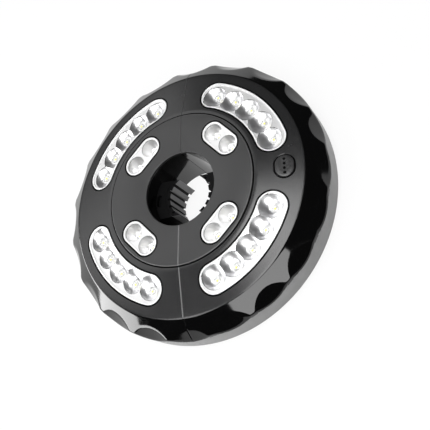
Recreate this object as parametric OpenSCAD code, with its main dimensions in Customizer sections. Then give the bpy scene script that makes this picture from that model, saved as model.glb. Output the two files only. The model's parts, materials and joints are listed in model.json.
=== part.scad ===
// Patio umbrella light: a round lamp in two hinged halves that closes round a parasol pole.
// It lies on its flat back, with the lamps facing up and the pole along Z.

/* [Body] */
// Height from the flat back to the hub plate's face
body_h = 37; // [34:0.5:42]
// Bore that the pole passes through
bore_d = 52; // [46:0.5:58]
// Width of the flat hub plate, from the bore to the groove round it
hub_w = 28.2; // [26:0.1:33]
// Width of the groove between the hub plate and the lamp ring
groove_w = 0.9; // [0.6:0.1:1.4]
// Width of the sloping lamp ring
ring_w = 32.5; // [29:0.1:38]
// Width of the bevelled grip rim outside the lamp ring
rim_w = 12.4; // [11:0.1:15.6]
// Step down from the hub plate to the ring's inner edge
hub_step = 0.8; // [0.5:0.1:1.2]
// Fall of the lamp ring towards the rim
ring_drop = 6.9; // [5.5:0.1:8]
// Fall of the bevelled rim
rim_drop = 9.6; // [7.5:0.1:10.5]
// How far the side wall leans in towards the back
band_taper = 1.6; // [0.8:0.1:2.2]
// Wall of the mouldings
wall = 2; // [1.6:0.1:2.4]
// Gap between the two halves along the seam
seam_gap = 0.3; // [0.2:0.05:0.6]

/* [Grip rim] */
// Number of thumb scoops round the rim
scoop_count = 20; // [16:2:24]
// Distance from the ring's edge to the top of a scoop
scoop_start = 5.8; // [4:0.1:7]
// How far a scoop dips below the rim's edge
scoop_dip = 4.5; // [3:0.1:5.5]
// Radius of the scoop's hollow
scoop_round = 50; // [38:1:62]

/* [Lamp windows] */
// Half width of an outer lamp window
window_half = 10.2; // [9.2:0.1:11.4]
// Distance from the groove to an outer lamp window
window_inset = 4.8; // [3.5:0.1:5.8]
// Distance between neighbouring outer lamp cups
cup_pitch = 15.1; // [13:0.1:16.5]
// Cups in an outer window
cup_count = 5; // [3:1:5]
// Mouth radius of an outer lamp cup
cup_r = 8.4; // [7.4:0.1:8.8]
// Half width of an inner lamp window
hub_window_half = 8; // [7.2:0.1:9]
// Distance from the hub plate's edge to an inner lamp window
hub_window_inset = 3.5; // [2.8:0.1:4.2]
// Distance between the two cups of an inner window
hub_cup_pitch = 14.9; // [13.6:0.05:16]
// Mouth radius of an inner lamp cup
hub_cup_r = 6.4; // [5.6:0.1:6.7]
// Gap round each reflector
window_gap = 0.25; // [0.15:0.05:0.4]
// Width of the bright edge round a reflector
bezel_w = 0.9; // [0.7:0.1:1.1]
// How far the bright edge stands proud
bezel_proud = 0.3; // [0.1:0.05:0.5]
// How far the mirror land lies below the bright edge's foot
land_depth = 0.8; // [0.5:0.1:1.1]
// Depth of an outer lamp below the ring's face
led_depth = 4.8; // [4.2:0.1:5.6]

/* [Lamps and board] */
// Length of a lamp package
led_l = 3.5; // [3:0.1:3.8]
// Width of a lamp package
led_w = 2.8; // [2.4:0.1:3]
// Height of a lamp package with its yellow face
led_h = 1; // [0.8:0.1:1.2]
// Thickness of the circuit board
board_t = 1.2; // [1:0.1:1.6]
// Side of the square push switch
switch_w = 5.2; // [4.5:0.1:6]
// Height of the push switch's case
switch_h = 1.2; // [1:0.1:1.4]

/* [Mode button] */
// Half width of the button's oval cap, across the ring
button_r = 6.3; // [5.4:0.1:6.8]
// Half length of the button's oval cap, along the ring
button_l = 7.6; // [7:0.1:8.4]
// Turn of the button from the middle of its half, in degrees
button_turn = 1.7; // [-4:0.1:4]
// Distance from the groove to the button's centre
button_inset = 19.5; // [18:0.1:22]
// Width of the ring groove round the button
button_ring_w = 1.25; // [0.9:0.05:1.5]
// Depth of the ring groove round the button
button_ring_depth = 1; // [0.7:0.1:1.2]
// How far the button stands proud of the ring
button_proud = 0.5; // [0.5:0.05:0.8]
// Travel of the button
button_travel = 0.4; // [0.2:0.05:0.45]
// Radius of the four dimples on the button
dimple_r = 0.9; // [0.7:0.05:1.1]
// Distance between the dimples
dimple_pitch = 3.3; // [2.8:0.1:3.8]

/* [Pole jaws] */
// Radius of the circle through the rib tips at rest
jaw_r = 15; // [13:0.1:17]
// Thickness of a ribbed pad
pad_t = 3.5; // [3:0.1:4]
// Half width of a ribbed pad
pad_half = 12.9; // [11:0.1:13.5]
// Ribs on a pad
rib_count = 6; // [4:1:7]
// Width of a groove between ribs
rib_groove_w = 1.3; // [1:0.1:1.6]
// Depth of a groove between ribs
rib_groove_depth = 1.6; // [1.2:0.1:2]
// Travel of each jaw away from the pole
jaw_travel = 8; // [6:0.1:8.5]
// Radius of a jaw spring's coil, to the middle of its wire
spring_r = 2.3; // [2:0.1:2.6]
// Thickness of a jaw spring's wire
spring_wire = 0.8; // [0.6:0.05:0.9]
// Curls in a jaw spring
spring_curls = 7; // [5:1:8]

/* [Batteries] */
// Diameter of a cell
cell_d = 14.5; // [13.5:0.1:15]
// Length of a cell over its tip
cell_l = 50.5; // [44:0.1:52]
// Diameter of a cell's tip
cell_tip_d = 5.5; // [4.5:0.1:6.5]
// Height of a cell's tip
cell_tip_h = 1; // [0.8:0.1:1.4]
// Room for the contact spring behind a cell
contact_room = 5; // [4.2:0.1:6]
// Thickness of the back cover and the battery doors
back_t = 2.5; // [2.2:0.1:3]
// Wall of the battery bay
bay_wall = 1.5; // [1.2:0.1:1.8]

/* [Hinge and latch] */
// Radius of the hinge barrel
barrel_r = 3.1; // [2.7:0.1:3.4]
// Radius of the hinge pin
pin_r = 1.25; // [1:0.05:1.4]
// Length of the hinge barrel
barrel_l = 12; // [10:0.1:12.5]
// How far the halves swing apart, in degrees
hinge_open = 45; // [30:1:60]
// Width of the latch tongue
tongue_w = 10; // [8:0.1:12]
// Thickness of the latch tongue
tongue_t = 2.4; // [2:0.1:2.8]
// Length of the latch tongue past the seam
tongue_l = 6; // [5:0.1:7]

/* [Hanging hooks] */
// Radius of a hook's ring, to the middle of its bar
hook_r = 7; // [6:0.1:8]
// Radius of a hook's bar
hook_bar_r = 1.7; // [1.4:0.1:1.8]
// Length of a hook's shank, from its pin to the ring's centre
hook_shank = 16; // [14:0.1:18]
// Radius of a hook's pin
hook_pin_r = 0.9; // [0.8:0.05:1]

/* [Screws] */
// Radius of a screw's shank
screw_r = 1.1; // [0.9:0.05:1.3]
// Radius of a screw's head
screw_head_r = 2.3; // [2:0.1:2.6]
// Length of a screw's shank
screw_l = 9; // [7:0.5:11]
// Radius of a screw post
post_r = 3; // [2.6:0.1:3.4]

/* [Hidden] */

$fn = 96;
cut = 1;             // overrun of every cutting shape
fit_gap = 0.3;       // gap between pieces that only lie beside each other
pin_gap = 0.05;      // running gap of a pin in its hole
seat_gap = 0.1;      // gap between mouldings that seat on each other

// radii of the body, from the bore outwards
bore_r = bore_d / 2;
hub_r = bore_r + hub_w;
ring_in_r = hub_r + groove_w;
ring_out_r = ring_in_r + ring_w;
rim_r = ring_out_r + rim_w;
foot_r = rim_r - band_taper;

// heights of the body's edges and slopes
ring_in_z = body_h - hub_step;
ring_out_z = ring_in_z - ring_drop;
rim_z = ring_out_z - rim_drop;
ring_slope = atan2(ring_drop, ring_w);
function face_z(r) = ring_in_z - (r - ring_in_r) * ring_drop / ring_w;
function bevel_z(r) = ring_out_z - (r - ring_out_r) * rim_drop / rim_w;

// the line along the bottom of a scoop
scoop_in_r = ring_out_r + scoop_start;
scoop_in_z = bevel_z(scoop_in_r);
scoop_out_z = rim_z - scoop_dip;
scoop_slope = atan2(scoop_in_z - scoop_out_z, rim_r - scoop_in_r);
function scoop_z(r) = scoop_in_z - (r - scoop_in_r) * tan(scoop_slope);

// half a body is kept on the right of this plane
seam_x = seam_gap / 2;

// the shell's inside follows its outside a wall below
shell_ledge_z = body_h - wall - seat_gap;
cover_z = back_t + seat_gap;
cover_r = foot_r - wall / 2;
band_in_r = rim_r - band_taper - wall;
scoop_wall = wall * 0.9 / cos(scoop_slope);
ceiling_r = scoop_in_r - wall;
ceiling_z = min(bevel_z(ceiling_r) - wall, scoop_z(ceiling_r) - scoop_wall);
corner_r = band_in_r + band_taper * 0.4;
corner_z = scoop_z(corner_r) - scoop_wall;
foot_round = 0.5;       // chamfer round the shell's foot
shell_foot_z = 0.4;     // the shell stops above the surface that the back cover rests on

// windows
window_r = ring_in_r + window_inset + window_half;
cup_step = 2 * asin(cup_pitch / 2 / window_r);
window_spread = cup_step * (cup_count - 1) / 2;
window_trim = 0.3;       // the arc of a window ends this many degrees inside its round ends
hub_window_r = hub_r - hub_window_inset - hub_window_half;
window_angles = [45, -45];

// the ledge that carries the hub plate starts outside the inner reflectors' corners
ledge_r = norm([hub_window_r, hub_cup_pitch / 2]) + hub_window_half + seat_gap;

// lamps and board
led_z = face_z(window_r) - led_depth;
board_z = led_z - led_h;
board_bottom_z = board_z - board_t;
board_in_r = bore_r + wall + bezel_w + fit_gap * 6;
board_margin = 7;        // board beyond the outer lamps' circle
board_out_r = window_r + board_margin;
led_face_r = led_w * 0.43;
led_face_h = led_h * 0.2;
led_well_r = 2.6;        // radius of the well round a lamp
flange_w = 1.1;          // foot flange round a reflector
flange_h = 0.8;

// button
button_x = ring_in_r + button_inset;
button_z = face_z(button_x);
button_fit = fit_gap;
button_flange_w = 0.9;
button_flange_h = 0.5;
button_flange_gap = 0.2;
switch_stem_r = switch_w * 0.25;

// jaws
slide_gap = fit_gap;
jaw_z = back_t + slide_gap;
jaw_top_gap = 2;         // between the jaws and the board
jaw_h = board_bottom_z - jaw_top_gap - jaw_z;
jaw_half = pad_half + 0.5 * wall / 2;
jaw_flange_w = 2.4;      // shoulder that stops the jaw at rest
jaw_flange_l = 5.2;
stop_x = bore_r + wall + seat_gap * 6;
jaw_shoulder_x = stop_x + fit_gap;
jaw_back_x = jaw_shoulder_x + jaw_flange_l;
spring_y = pad_half * 0.7;
spring_z = jaw_z + jaw_h / 2;
spring_bore_r = spring_r + spring_wire / 2 + fit_gap;
spring_bore_l = 7;
jaw_recess_w = 3.8;      // the oval recess in a jaw's front face
jaw_recess_l = 9;
jaw_recess_depth = 3;

// battery bay, outwards from the jaw at the end of its travel
jaw_end_gap = 1.5;
bay_out_x = jaw_back_x + jaw_travel + jaw_end_gap;
bay_x = bay_out_x + bay_wall;
cell_gap = 0.5;
cell_r = cell_d / 2;
bay_w = 2 * cell_d + 3 * cell_gap;
plate_t = 0.5;           // contact plates
bay_half = (cell_l + contact_room) / 2 + plate_t;
cell_z = back_t + fit_gap + cell_r;
bay_top_z = cell_z + cell_r + cell_gap;
cell_xs = [bay_x + cell_gap + cell_r, bay_x + 2 * cell_gap + 3 * cell_r];
cell_ways = [1, -1];
contact_wire = 0.6;
contact_curls = 4;
contact_wide_r = cell_r * 0.62;
contact_narrow_r = cell_r * 0.34;
contact_plate_w = cell_d * 0.78;

// battery door, hung on two stub pins at its inner edge
door_gap = fit_gap;
door_axis_x = bay_x + door_gap + back_t / 2;
door_pin_r = back_t * 0.3;
door_pin_l = 1.4;
door_rib_h = 1;
nail_notch_r = 5;
nail_notch_depth = back_t * 0.4;

// hinge
hinge_y = rim_r - barrel_r - band_taper / 4;
barrel_z = back_t + fit_gap;
knuckle_l = (barrel_l - 2 * fit_gap) / 3;
hinge_arm = barrel_r * 2;

// latch
tongue_y = -(band_in_r - tongue_w);
tongue_z = jaw_z + jaw_h / 3;
tongue_root = 2.5;
keeper_leaf_t = 0.6;
keeper_l = 5;
keeper_back = 1;

// hanging hooks, one in each half, a half turn apart
hook_place_shares = [0.36, 0.56];
hook_x = rim_r * hook_place_shares[0];
hook_pin_y = -rim_r * hook_place_shares[1] + hook_shank / 2;
hook_barrel_r = hook_bar_r;
hook_z = hook_barrel_r + fit_gap;
hook_open = 80;
pocket_half = hook_r + hook_bar_r + fit_gap;
pocket_z = hook_z + hook_barrel_r + fit_gap;
pocket_top_z = pocket_z + bay_wall;
pocket_end = hook_barrel_r + fit_gap * 2;
pocket_l = hook_shank + hook_r + hook_bar_r + fit_gap * 2 + pocket_end;
pocket_corner = 1;
hook_pin_bite = 1.1;

// screws: four through the rim's posts and two through the hub's posts in each half
rim_post_r = band_in_r - post_r - wall;
rim_post_angles = [64, 21, -21, -64];
hub_post_gap = 1.6;
hub_post_r = bore_r + wall + hub_post_gap + post_r;
hub_post_angles = [76, -76];
head_h = 1.1;
head_depth = 0.2;
head_room = 0.3;
slot_w = 0.5;

// the part of space that the right half may fill
module right_side(from_x) {
    translate([from_x, -2 * rim_r, -body_h]) cube([2 * rim_r, 4 * rim_r, 3 * body_h]);
}

// a profile turned about Z, with its start and end on the left, away from the right half's cuts
module turned(points) {
    rotate(180) rotate_extrude($fn = 180) polygon(points);
}

// outline of an outer window: an arc with round ends
module arc_outline(grow) {
    half = window_half + grow;
    reach = rim_r * 2;
    spread = window_spread - window_trim;
    intersection() {
        difference() {
            circle(r = window_r + half);
            circle(r = window_r - half);
        }
        polygon([
            [0, 0],
            [reach * cos(spread), -reach * sin(spread)],
            [reach, 0],
            [reach * cos(spread), reach * sin(spread)]
        ]);
    }
    for (side = [-1, 1]) rotate(side * window_spread) translate([window_r, 0]) circle(r = half);
}

// outline of an inner window: a straight slot with round ends
module slot_outline(grow) {
    half = hub_window_half + grow;
    translate([hub_window_r - half, -hub_cup_pitch / 2]) square([2 * half, hub_cup_pitch]);
    for (side = [-1, 1]) translate([hub_window_r, side * hub_cup_pitch / 2]) circle(r = half);
}

// all that lies under the ring's face, raised by an amount
module under_face(rise) {
    turned([
        [0, -cut],
        [rim_r, -cut],
        [rim_r, face_z(rim_r) + rise],
        [0, face_z(0) + rise]
    ]);
}

// a lamp cup: a parabola from the lamp's well up to its mouth
cup_steps = 5;
function cup_height(r, mouth, depth) =
    depth * (r * r - led_well_r * led_well_r) / (mouth * mouth - led_well_r * led_well_r);
module cup(mouth, depth) {
    over_r = mouth * 1.12;
    points = [for (i = [0 : cup_steps]) led_well_r + (over_r - led_well_r) * i / cup_steps];
    rotate_extrude($fn = 64) polygon(concat(
        [[0, -led_h - cut], [led_well_r, -led_h - cut]],
        [for (r = points) [r, cup_height(r, mouth, depth)]],
        [[over_r, depth + body_h], [0, depth + body_h]]
    ));
}

// Front shell: lamp ring, bevelled rim with its scoops, side wall and seam wall

module scoop() {
    reach = rim_w * 2;
    translate([scoop_in_r, 0, scoop_in_z]) rotate([0, scoop_slope, 0])
        translate([-reach, 0, scoop_round]) rotate([0, 90, 0]) cylinder(r = scoop_round, h = 2 * reach, $fn = 180);
}

module shell_cavity() {
    intersection() {
        turned([
            [0, -cut],
            [0, shell_ledge_z - wall],
            [ring_in_r + wall, shell_ledge_z - wall],
            [ring_in_r + wall, face_z(ring_in_r + wall) - wall],
            [ring_out_r - wall / 2, face_z(ring_out_r - wall / 2) - wall],
            [ceiling_r, ceiling_z],
            [corner_r, corner_z],
            [band_in_r, cover_z],
            [band_in_r, -cut]
        ]);
        right_side(seam_x + wall);
    }
}

module shell_solid() {
    turned([
        [ledge_r, cover_z],
        [ledge_r, shell_ledge_z],
        [ring_in_r, shell_ledge_z],
        [ring_in_r, ring_in_z],
        [ring_out_r, ring_out_z],
        [rim_r, rim_z],
        [foot_r, shell_foot_z + foot_round],
        [foot_r - foot_round, shell_foot_z],
        [cover_r, shell_foot_z],
        [cover_r, cover_z]
    ]);
}

// the seam wall goes on under the hub plate, up to the bore's wall
module inner_seam_wall() {
    for (side = [-1, 1]) {
        near = bore_r + wall + seat_gap;
        far = (ledge_r + ring_in_r) / 2;
        translate([seam_x, side > 0 ? near : -far, cover_z])
            cube([wall, far - near, shell_ledge_z - cover_z]);
    }
}

module rim_posts() {
    difference() {
        intersection() {
            for (a = rim_post_angles) rotate(a) translate([rim_post_r, 0, cover_z])
                cylinder(r = post_r, h = body_h);
            // the posts end half a wall inside the bevel
            turned([
                [0, 0],
                [corner_r, 0],
                [corner_r, corner_z + wall / 2],
                [ceiling_r, ceiling_z + wall / 2],
                [0, ceiling_z + wall / 2]
            ]);
        }
        for (a = rim_post_angles) rotate(a) translate([rim_post_r, 0, cover_z - cut])
            cylinder(r = screw_r + pin_gap, h = screw_l + cut + fit_gap);
    }
}

module knuckle(from_z, side) {
    translate([0, hinge_y, from_z]) cylinder(r = barrel_r, h = knuckle_l);
    translate([side > 0 ? 0 : -hinge_arm, hinge_y - hinge_arm, from_z]) cube([hinge_arm, hinge_arm, knuckle_l]);
}

module knuckle_room(from_z, side) {
    room = barrel_r + fit_gap;
    translate([0, hinge_y, from_z - fit_gap]) cylinder(r = room, h = knuckle_l + 2 * fit_gap);
    translate([side > 0 ? -room : 0, hinge_y, from_z - fit_gap]) cube([room, room + cut, knuckle_l + 2 * fit_gap]);
}

knuckle_zs = [for (i = [0 : 2]) barrel_z + i * (knuckle_l + fit_gap)];
right_knuckles = [0, 2];
left_knuckles = [1];

module hinge_hole() {
    translate([0, hinge_y, -cut]) cylinder(r = pin_r + pin_gap, h = barrel_z + barrel_l + cut + pin_gap);
}

module tongue_slot() {
    translate([-2 * wall, tongue_y - tongue_w / 2 - fit_gap, tongue_z - fit_gap])
        cube([4 * wall, tongue_w + 2 * fit_gap, tongue_t + 2 * fit_gap]);
}

module button_frame() {
    rotate(button_turn) translate([button_x, 0, button_z]) rotate([0, ring_slope, 0]) children();
}

// the button's oval, grown by an amount and standing between two heights
module button_oval(grow, from_z, to_z) {
    half = button_r + grow;
    side_l = button_l - button_r;
    translate([0, 0, from_z]) linear_extrude(to_z - from_z) {
        for (side = [-1, 1]) translate([0, side * side_l]) circle(r = half);
        translate([-half, -side_l]) square([2 * half, 2 * side_l]);
    }
}

module plain_shell_half() {
    intersection() {
        difference() {
            shell_solid();
            shell_cavity();
            for (i = [0 : scoop_count - 1]) rotate(90 + i * 360 / scoop_count) scoop();
            for (a = window_angles) rotate(a) linear_extrude(body_h + cut) arc_outline(0);
        }
        right_side(seam_x);
    }
    inner_seam_wall();
    rim_posts();
}

module right_front_shell() {
    color("dimgray") difference() {
        union() {
            difference() {
                plain_shell_half();
                for (i = left_knuckles) knuckle_room(knuckle_zs[i], -1);
                tongue_slot();
                button_frame() {
                    button_oval(button_fit, -2 * wall, 2 * wall);
                    button_oval(button_ring_w, -button_ring_depth, 2 * wall);
                }
            }
            for (i = right_knuckles) knuckle(knuckle_zs[i], 1);
        }
        hinge_hole();
    }
}

module left_front_shell() {
    color("dimgray") difference() {
        union() {
            difference() {
                mirror([1, 0, 0]) plain_shell_half();
                for (i = right_knuckles) knuckle_room(knuckle_zs[i], 1);
                // the corner is cut back to a face that meets the right half when the lamp is open
                translate([0, hinge_y, -cut]) rotate(hinge_open) translate([-seam_x, 0, 0])
                    cube([hinge_arm, hinge_arm, body_h + cut]);
                tongue_slot();
            }
            for (i = left_knuckles) knuckle(knuckle_zs[i], -1);
        }
        hinge_hole();
    }
}

// Hub plate with its two windows and two screw posts

hub_edge = 0.5;
module hub_plate() {
    difference() {
        union() {
            intersection() {
                turned([
                    [bore_r, body_h - wall],
                    [hub_r, body_h - wall],
                    [hub_r, body_h - hub_edge],
                    [hub_r - hub_edge, body_h],
                    [bore_r + hub_edge, body_h],
                    [bore_r, body_h - hub_edge]
                ]);
                right_side(seam_x);
            }
            for (a = hub_post_angles) rotate(a) translate([hub_post_r, 0, cover_z])
                cylinder(r = post_r, h = body_h - wall / 2 - cover_z);
        }
        for (a = window_angles) rotate(a) linear_extrude(body_h + cut) slot_outline(0);
        for (a = hub_post_angles) rotate(a) translate([hub_post_r, 0, cover_z - cut])
            cylinder(r = screw_r + pin_gap, h = screw_l + cut + fit_gap);
    }
}
module right_hub_plate() { color("gray") hub_plate(); }
module left_hub_plate() { color("gray") mirror([1, 0, 0]) hub_plate(); }

// Reflectors

module arc_reflector(a) {
    color("whitesmoke") rotate(a) difference() {
        union() {
            intersection() {
                translate([0, 0, board_z]) linear_extrude(body_h) arc_outline(-window_gap);
                under_face(bezel_proud);
            }
            translate([0, 0, board_z]) linear_extrude(flange_h) arc_outline(flange_w);
        }
        difference() {
            translate([0, 0, board_z]) linear_extrude(body_h) arc_outline(-window_gap - bezel_w);
            under_face(-land_depth);
        }
        for (i = [0 : cup_count - 1]) rotate(cup_step * (i - (cup_count - 1) / 2)) intersection() {
            translate([window_r, 0, led_z]) cup(cup_r, led_depth - land_depth);
            // neighbouring cups meet on the plane halfway between them
            linear_extrude(2 * body_h) polygon([
                [0, 0],
                [2 * rim_r, 2 * rim_r * (i == cup_count - 1 ? 1 : tan(cup_step / 2))],
                [2 * rim_r, -2 * rim_r * (i == 0 ? 1 : tan(cup_step / 2))]
            ]);
        }
    }
}
module upper_right_reflector() { arc_reflector(45); }
module lower_right_reflector() { arc_reflector(-45); }
module upper_left_reflector() { arc_reflector(135); }
module lower_left_reflector() { arc_reflector(-135); }

module hub_reflector(a) {
    color("whitesmoke") rotate(a) difference() {
        union() {
            translate([0, 0, board_z]) linear_extrude(body_h + bezel_proud - board_z) slot_outline(-window_gap);
            translate([0, 0, board_z]) linear_extrude(flange_h) slot_outline(flange_w);
        }
        translate([0, 0, body_h - land_depth]) linear_extrude(body_h) slot_outline(-window_gap - bezel_w);
        for (side = [-1, 1]) translate([hub_window_r, side * hub_cup_pitch / 2, led_z])
            cup(hub_cup_r, body_h - land_depth - led_z);
    }
}
module upper_right_hub_reflector() { hub_reflector(45); }
module lower_right_hub_reflector() { hub_reflector(-45); }
module upper_left_hub_reflector() { hub_reflector(135); }
module lower_left_hub_reflector() { hub_reflector(-135); }

// Lamp packages, fourteen to a board

module led() {
    translate([-led_w / 2, -led_l / 2, board_z]) cube([led_w, led_l, led_h - led_face_h]);
    translate([0, 0, board_z]) cylinder(r = led_face_r, h = led_h, $fn = 32);
}
module half_leds() {
    for (a = window_angles) rotate(a) {
        for (i = [0 : cup_count - 1]) rotate(cup_step * (i - (cup_count - 1) / 2)) translate([window_r, 0, 0]) led();
        for (side = [-1, 1]) translate([hub_window_r, side * hub_cup_pitch / 2, 0]) led();
    }
}
module right_leds() { color("khaki") half_leds(); }
module left_leds() { color("khaki") mirror([1, 0, 0]) half_leds(); }

// Circuit boards, half rings that the hub's posts pass through

module led_board() {
    difference() {
        intersection() {
            translate([0, 0, board_bottom_z]) cylinder(r = board_out_r, h = board_t);
            right_side(seam_x + wall + fit_gap);
        }
        translate([0, 0, board_bottom_z - cut]) cylinder(r = board_in_r, h = board_t + 2 * cut);
        for (a = hub_post_angles) rotate(a) translate([hub_post_r, 0, board_bottom_z - cut])
            cylinder(r = post_r + fit_gap, h = board_t + 2 * cut);
    }
}
module right_led_board() { color("seagreen") led_board(); }
module left_led_board() { color("seagreen") mirror([1, 0, 0]) led_board(); }

// Mode button and its switch

module mode_button() {
    under = wall + button_flange_gap;
    color("dimgray") button_frame() difference() {
        union() {
            button_oval(0, -under, button_proud);
            button_oval(button_fit + button_flange_w, -under - button_flange_h, -under);
        }
        for (i = [-1.5 : 1 : 1.5]) translate([0, i * dimple_pitch, button_proud - dimple_r / 2])
            cylinder(r = dimple_r, h = dimple_r, $fn = 32);
    }
}
switch_gap = button_travel + seat_gap;
switch_stem_z = button_z - (wall + button_flange_gap + button_flange_h) * cos(ring_slope)
    - switch_gap / cos(ring_slope) - switch_stem_r * sin(ring_slope);
module push_switch() {
    at_x = button_x - (wall + button_flange_h) * sin(ring_slope);
    stem_h = switch_stem_z - board_z;
    color("silver") rotate(button_turn) translate([at_x, 0, board_z]) {
        translate([-switch_w / 2, -switch_w / 2, 0]) cube([switch_w, switch_w, min(switch_h, stem_h - switch_w / 2 * sin(ring_slope))]);
        cylinder(r = switch_stem_r, h = stem_h, $fn = 32);
    }
}

// Back cover: half disc, bore wall with the jaw's window, battery bay, hook pocket and jaw rails

module rounded_box(x0, x1, y0, y1, z0, z1, r) {
    translate([x0 + r, y0, z0]) cube([x1 - x0 - 2 * r, y1 - y0, z1 - z0]);
    translate([x0, y0 + r, z0]) cube([x1 - x0, y1 - y0 - 2 * r, z1 - z0]);
    for (x = [x0 + r, x1 - r], y = [y0 + r, y1 - r]) translate([x, y, z0]) cylinder(r = r, h = z1 - z0, $fn = 32);
}

rail_y = jaw_half + jaw_flange_w + slide_gap;
rail_w = wall * 0.8;
rail_h = jaw_h * 0.6;
back_edge = 0.5;

module back_cover(hook_turn) {
    difference() {
        union() {
            intersection() {
                turned([
                    [bore_r, 0],
                    [cover_r - seat_gap - back_edge, 0],
                    [cover_r - seat_gap, back_edge],
                    [cover_r - seat_gap, back_t],
                    [bore_r + wall, back_t],
                    [bore_r + wall, shell_ledge_z],
                    [bore_r, shell_ledge_z]
                ]);
                right_side(seam_x);
            }
            // battery bay
            translate([bay_out_x, -bay_half - bay_wall, 0])
                cube([bay_w + 2 * bay_wall, 2 * (bay_half + bay_wall), bay_top_z + bay_wall]);
            // rails and stops of the jaw
            for (side = [-1, 1]) {
                translate([bore_r, side > 0 ? rail_y : -rail_y - rail_w, 0])
                    cube([bay_out_x - bore_r, rail_w, back_t + rail_h]);
                translate([stop_x - wall * 2, side > 0 ? jaw_half + slide_gap : -rail_y - rail_w, 0])
                    cube([wall * 2, rail_y + rail_w - jaw_half - slide_gap, back_t + rail_h]);
            }
            // hook pocket
            mirror([0, hook_turn, 0])
                rounded_box(hook_x - pocket_half - bay_wall, hook_x + pocket_half + bay_wall,
                    hook_pin_y + pocket_end - pocket_l - bay_wall, hook_pin_y + pocket_end + bay_wall,
                    back_t / 2, pocket_top_z, pocket_corner + bay_wall);
        }
        // jaw window in the bore's wall
        translate([0, -jaw_half - slide_gap, back_t])
            cube([stop_x + cut, 2 * (jaw_half + slide_gap), jaw_h + 2 * slide_gap]);
        translate([bay_x, -bay_half, -cut]) cube([bay_w, 2 * bay_half, bay_top_z + cut]);
        translate([door_axis_x, -bay_half - door_pin_l - fit_gap / 2, back_t / 2]) rotate([-90, 0, 0])
            cylinder(r = door_pin_r + pin_gap, h = 2 * (bay_half + door_pin_l) + fit_gap, $fn = 32);
        mirror([0, hook_turn, 0]) {
            rounded_box(hook_x - pocket_half, hook_x + pocket_half,
                hook_pin_y + pocket_end - pocket_l, hook_pin_y + pocket_end, -cut, pocket_z, pocket_corner);
            translate([hook_x - pocket_half - hook_pin_bite, hook_pin_y, hook_z]) rotate([0, 90, 0])
                cylinder(r = hook_pin_r + pin_gap, h = 2 * (pocket_half + hook_pin_bite), $fn = 32);
        }
        for (a = rim_post_angles) rotate(a) translate([rim_post_r, 0, 0]) screw_room();
        for (a = hub_post_angles) rotate(a) translate([hub_post_r, 0, 0]) screw_room();
        // the corner beyond the hinge is cut back, so that the covers swing clear of each other
        translate([0, hinge_y - fit_gap, -cut]) rotate(hinge_open) cube([hinge_arm, hinge_arm, back_t + 2 * cut]);
    }
}
module screw_room() {
    translate([0, 0, -cut]) cylinder(r = screw_head_r + head_room, h = cut + head_depth + head_h, $fn = 48);
    translate([0, 0, -cut]) cylinder(r = screw_r + head_room, h = back_t + 2 * cut, $fn = 32);
}
module right_back_cover() { color("dimgray") back_cover(0); }
module left_back_cover() { color("dimgray") mirror([1, 0, 0]) back_cover(1); }

// Jaws: a sliding carrier with two spring bores, and a ribbed rubber pad

module jaw_carrier() {
    difference() {
        translate([0, 0, jaw_z]) linear_extrude(jaw_h) difference() {
            union() {
                translate([0, -jaw_half]) square([jaw_back_x, 2 * jaw_half]);
                translate([jaw_shoulder_x, -jaw_half - jaw_flange_w])
                    square([jaw_back_x - jaw_shoulder_x, 2 * (jaw_half + jaw_flange_w)]);
            }
            circle(r = jaw_r + pad_t + seat_gap);
        }
        for (side = [-1, 1]) translate([jaw_back_x - spring_bore_l, side * spring_y, spring_z]) rotate([0, 90, 0])
            cylinder(r = spring_bore_r, h = spring_bore_l + cut, $fn = 48);
        translate([(jaw_r + pad_t + stop_x) / 2, 0, jaw_z + jaw_h - jaw_recess_depth]) {
            for (side = [-1, 1]) translate([0, side * (jaw_recess_l - jaw_recess_w) / 2, 0])
                cylinder(r = jaw_recess_w / 2, h = jaw_recess_depth + cut, $fn = 48);
            translate([-jaw_recess_w / 2, -(jaw_recess_l - jaw_recess_w) / 2, 0])
                cube([jaw_recess_w, jaw_recess_l - jaw_recess_w, jaw_recess_depth + cut]);
        }
    }
}
module right_jaw_carrier() { color("darkslategray") jaw_carrier(); }
module left_jaw_carrier() { color("darkslategray") mirror([1, 0, 0]) jaw_carrier(); }

pad_spread = asin(pad_half / (jaw_r + pad_t / 4));
rib_step = 2 * pad_spread / rib_count;
module jaw_pad() {
    translate([0, 0, jaw_z]) linear_extrude(jaw_h) difference() {
        intersection() {
            circle(r = jaw_r + pad_t);
            translate([0, -pad_half]) square([jaw_r + pad_t, 2 * pad_half]);
        }
        circle(r = jaw_r);
        for (i = [1 : rib_count - 1]) rotate(i * rib_step - pad_spread)
            translate([0, -rib_groove_w / 2]) square([jaw_r + rib_groove_depth, rib_groove_w]);
    }
}
module right_jaw_pad() { color("slategray") jaw_pad(); }
module left_jaw_pad() { color("slategray") mirror([1, 0, 0]) jaw_pad(); }

// Coil springs: one unbroken tube whose radius may change from end to end

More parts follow.
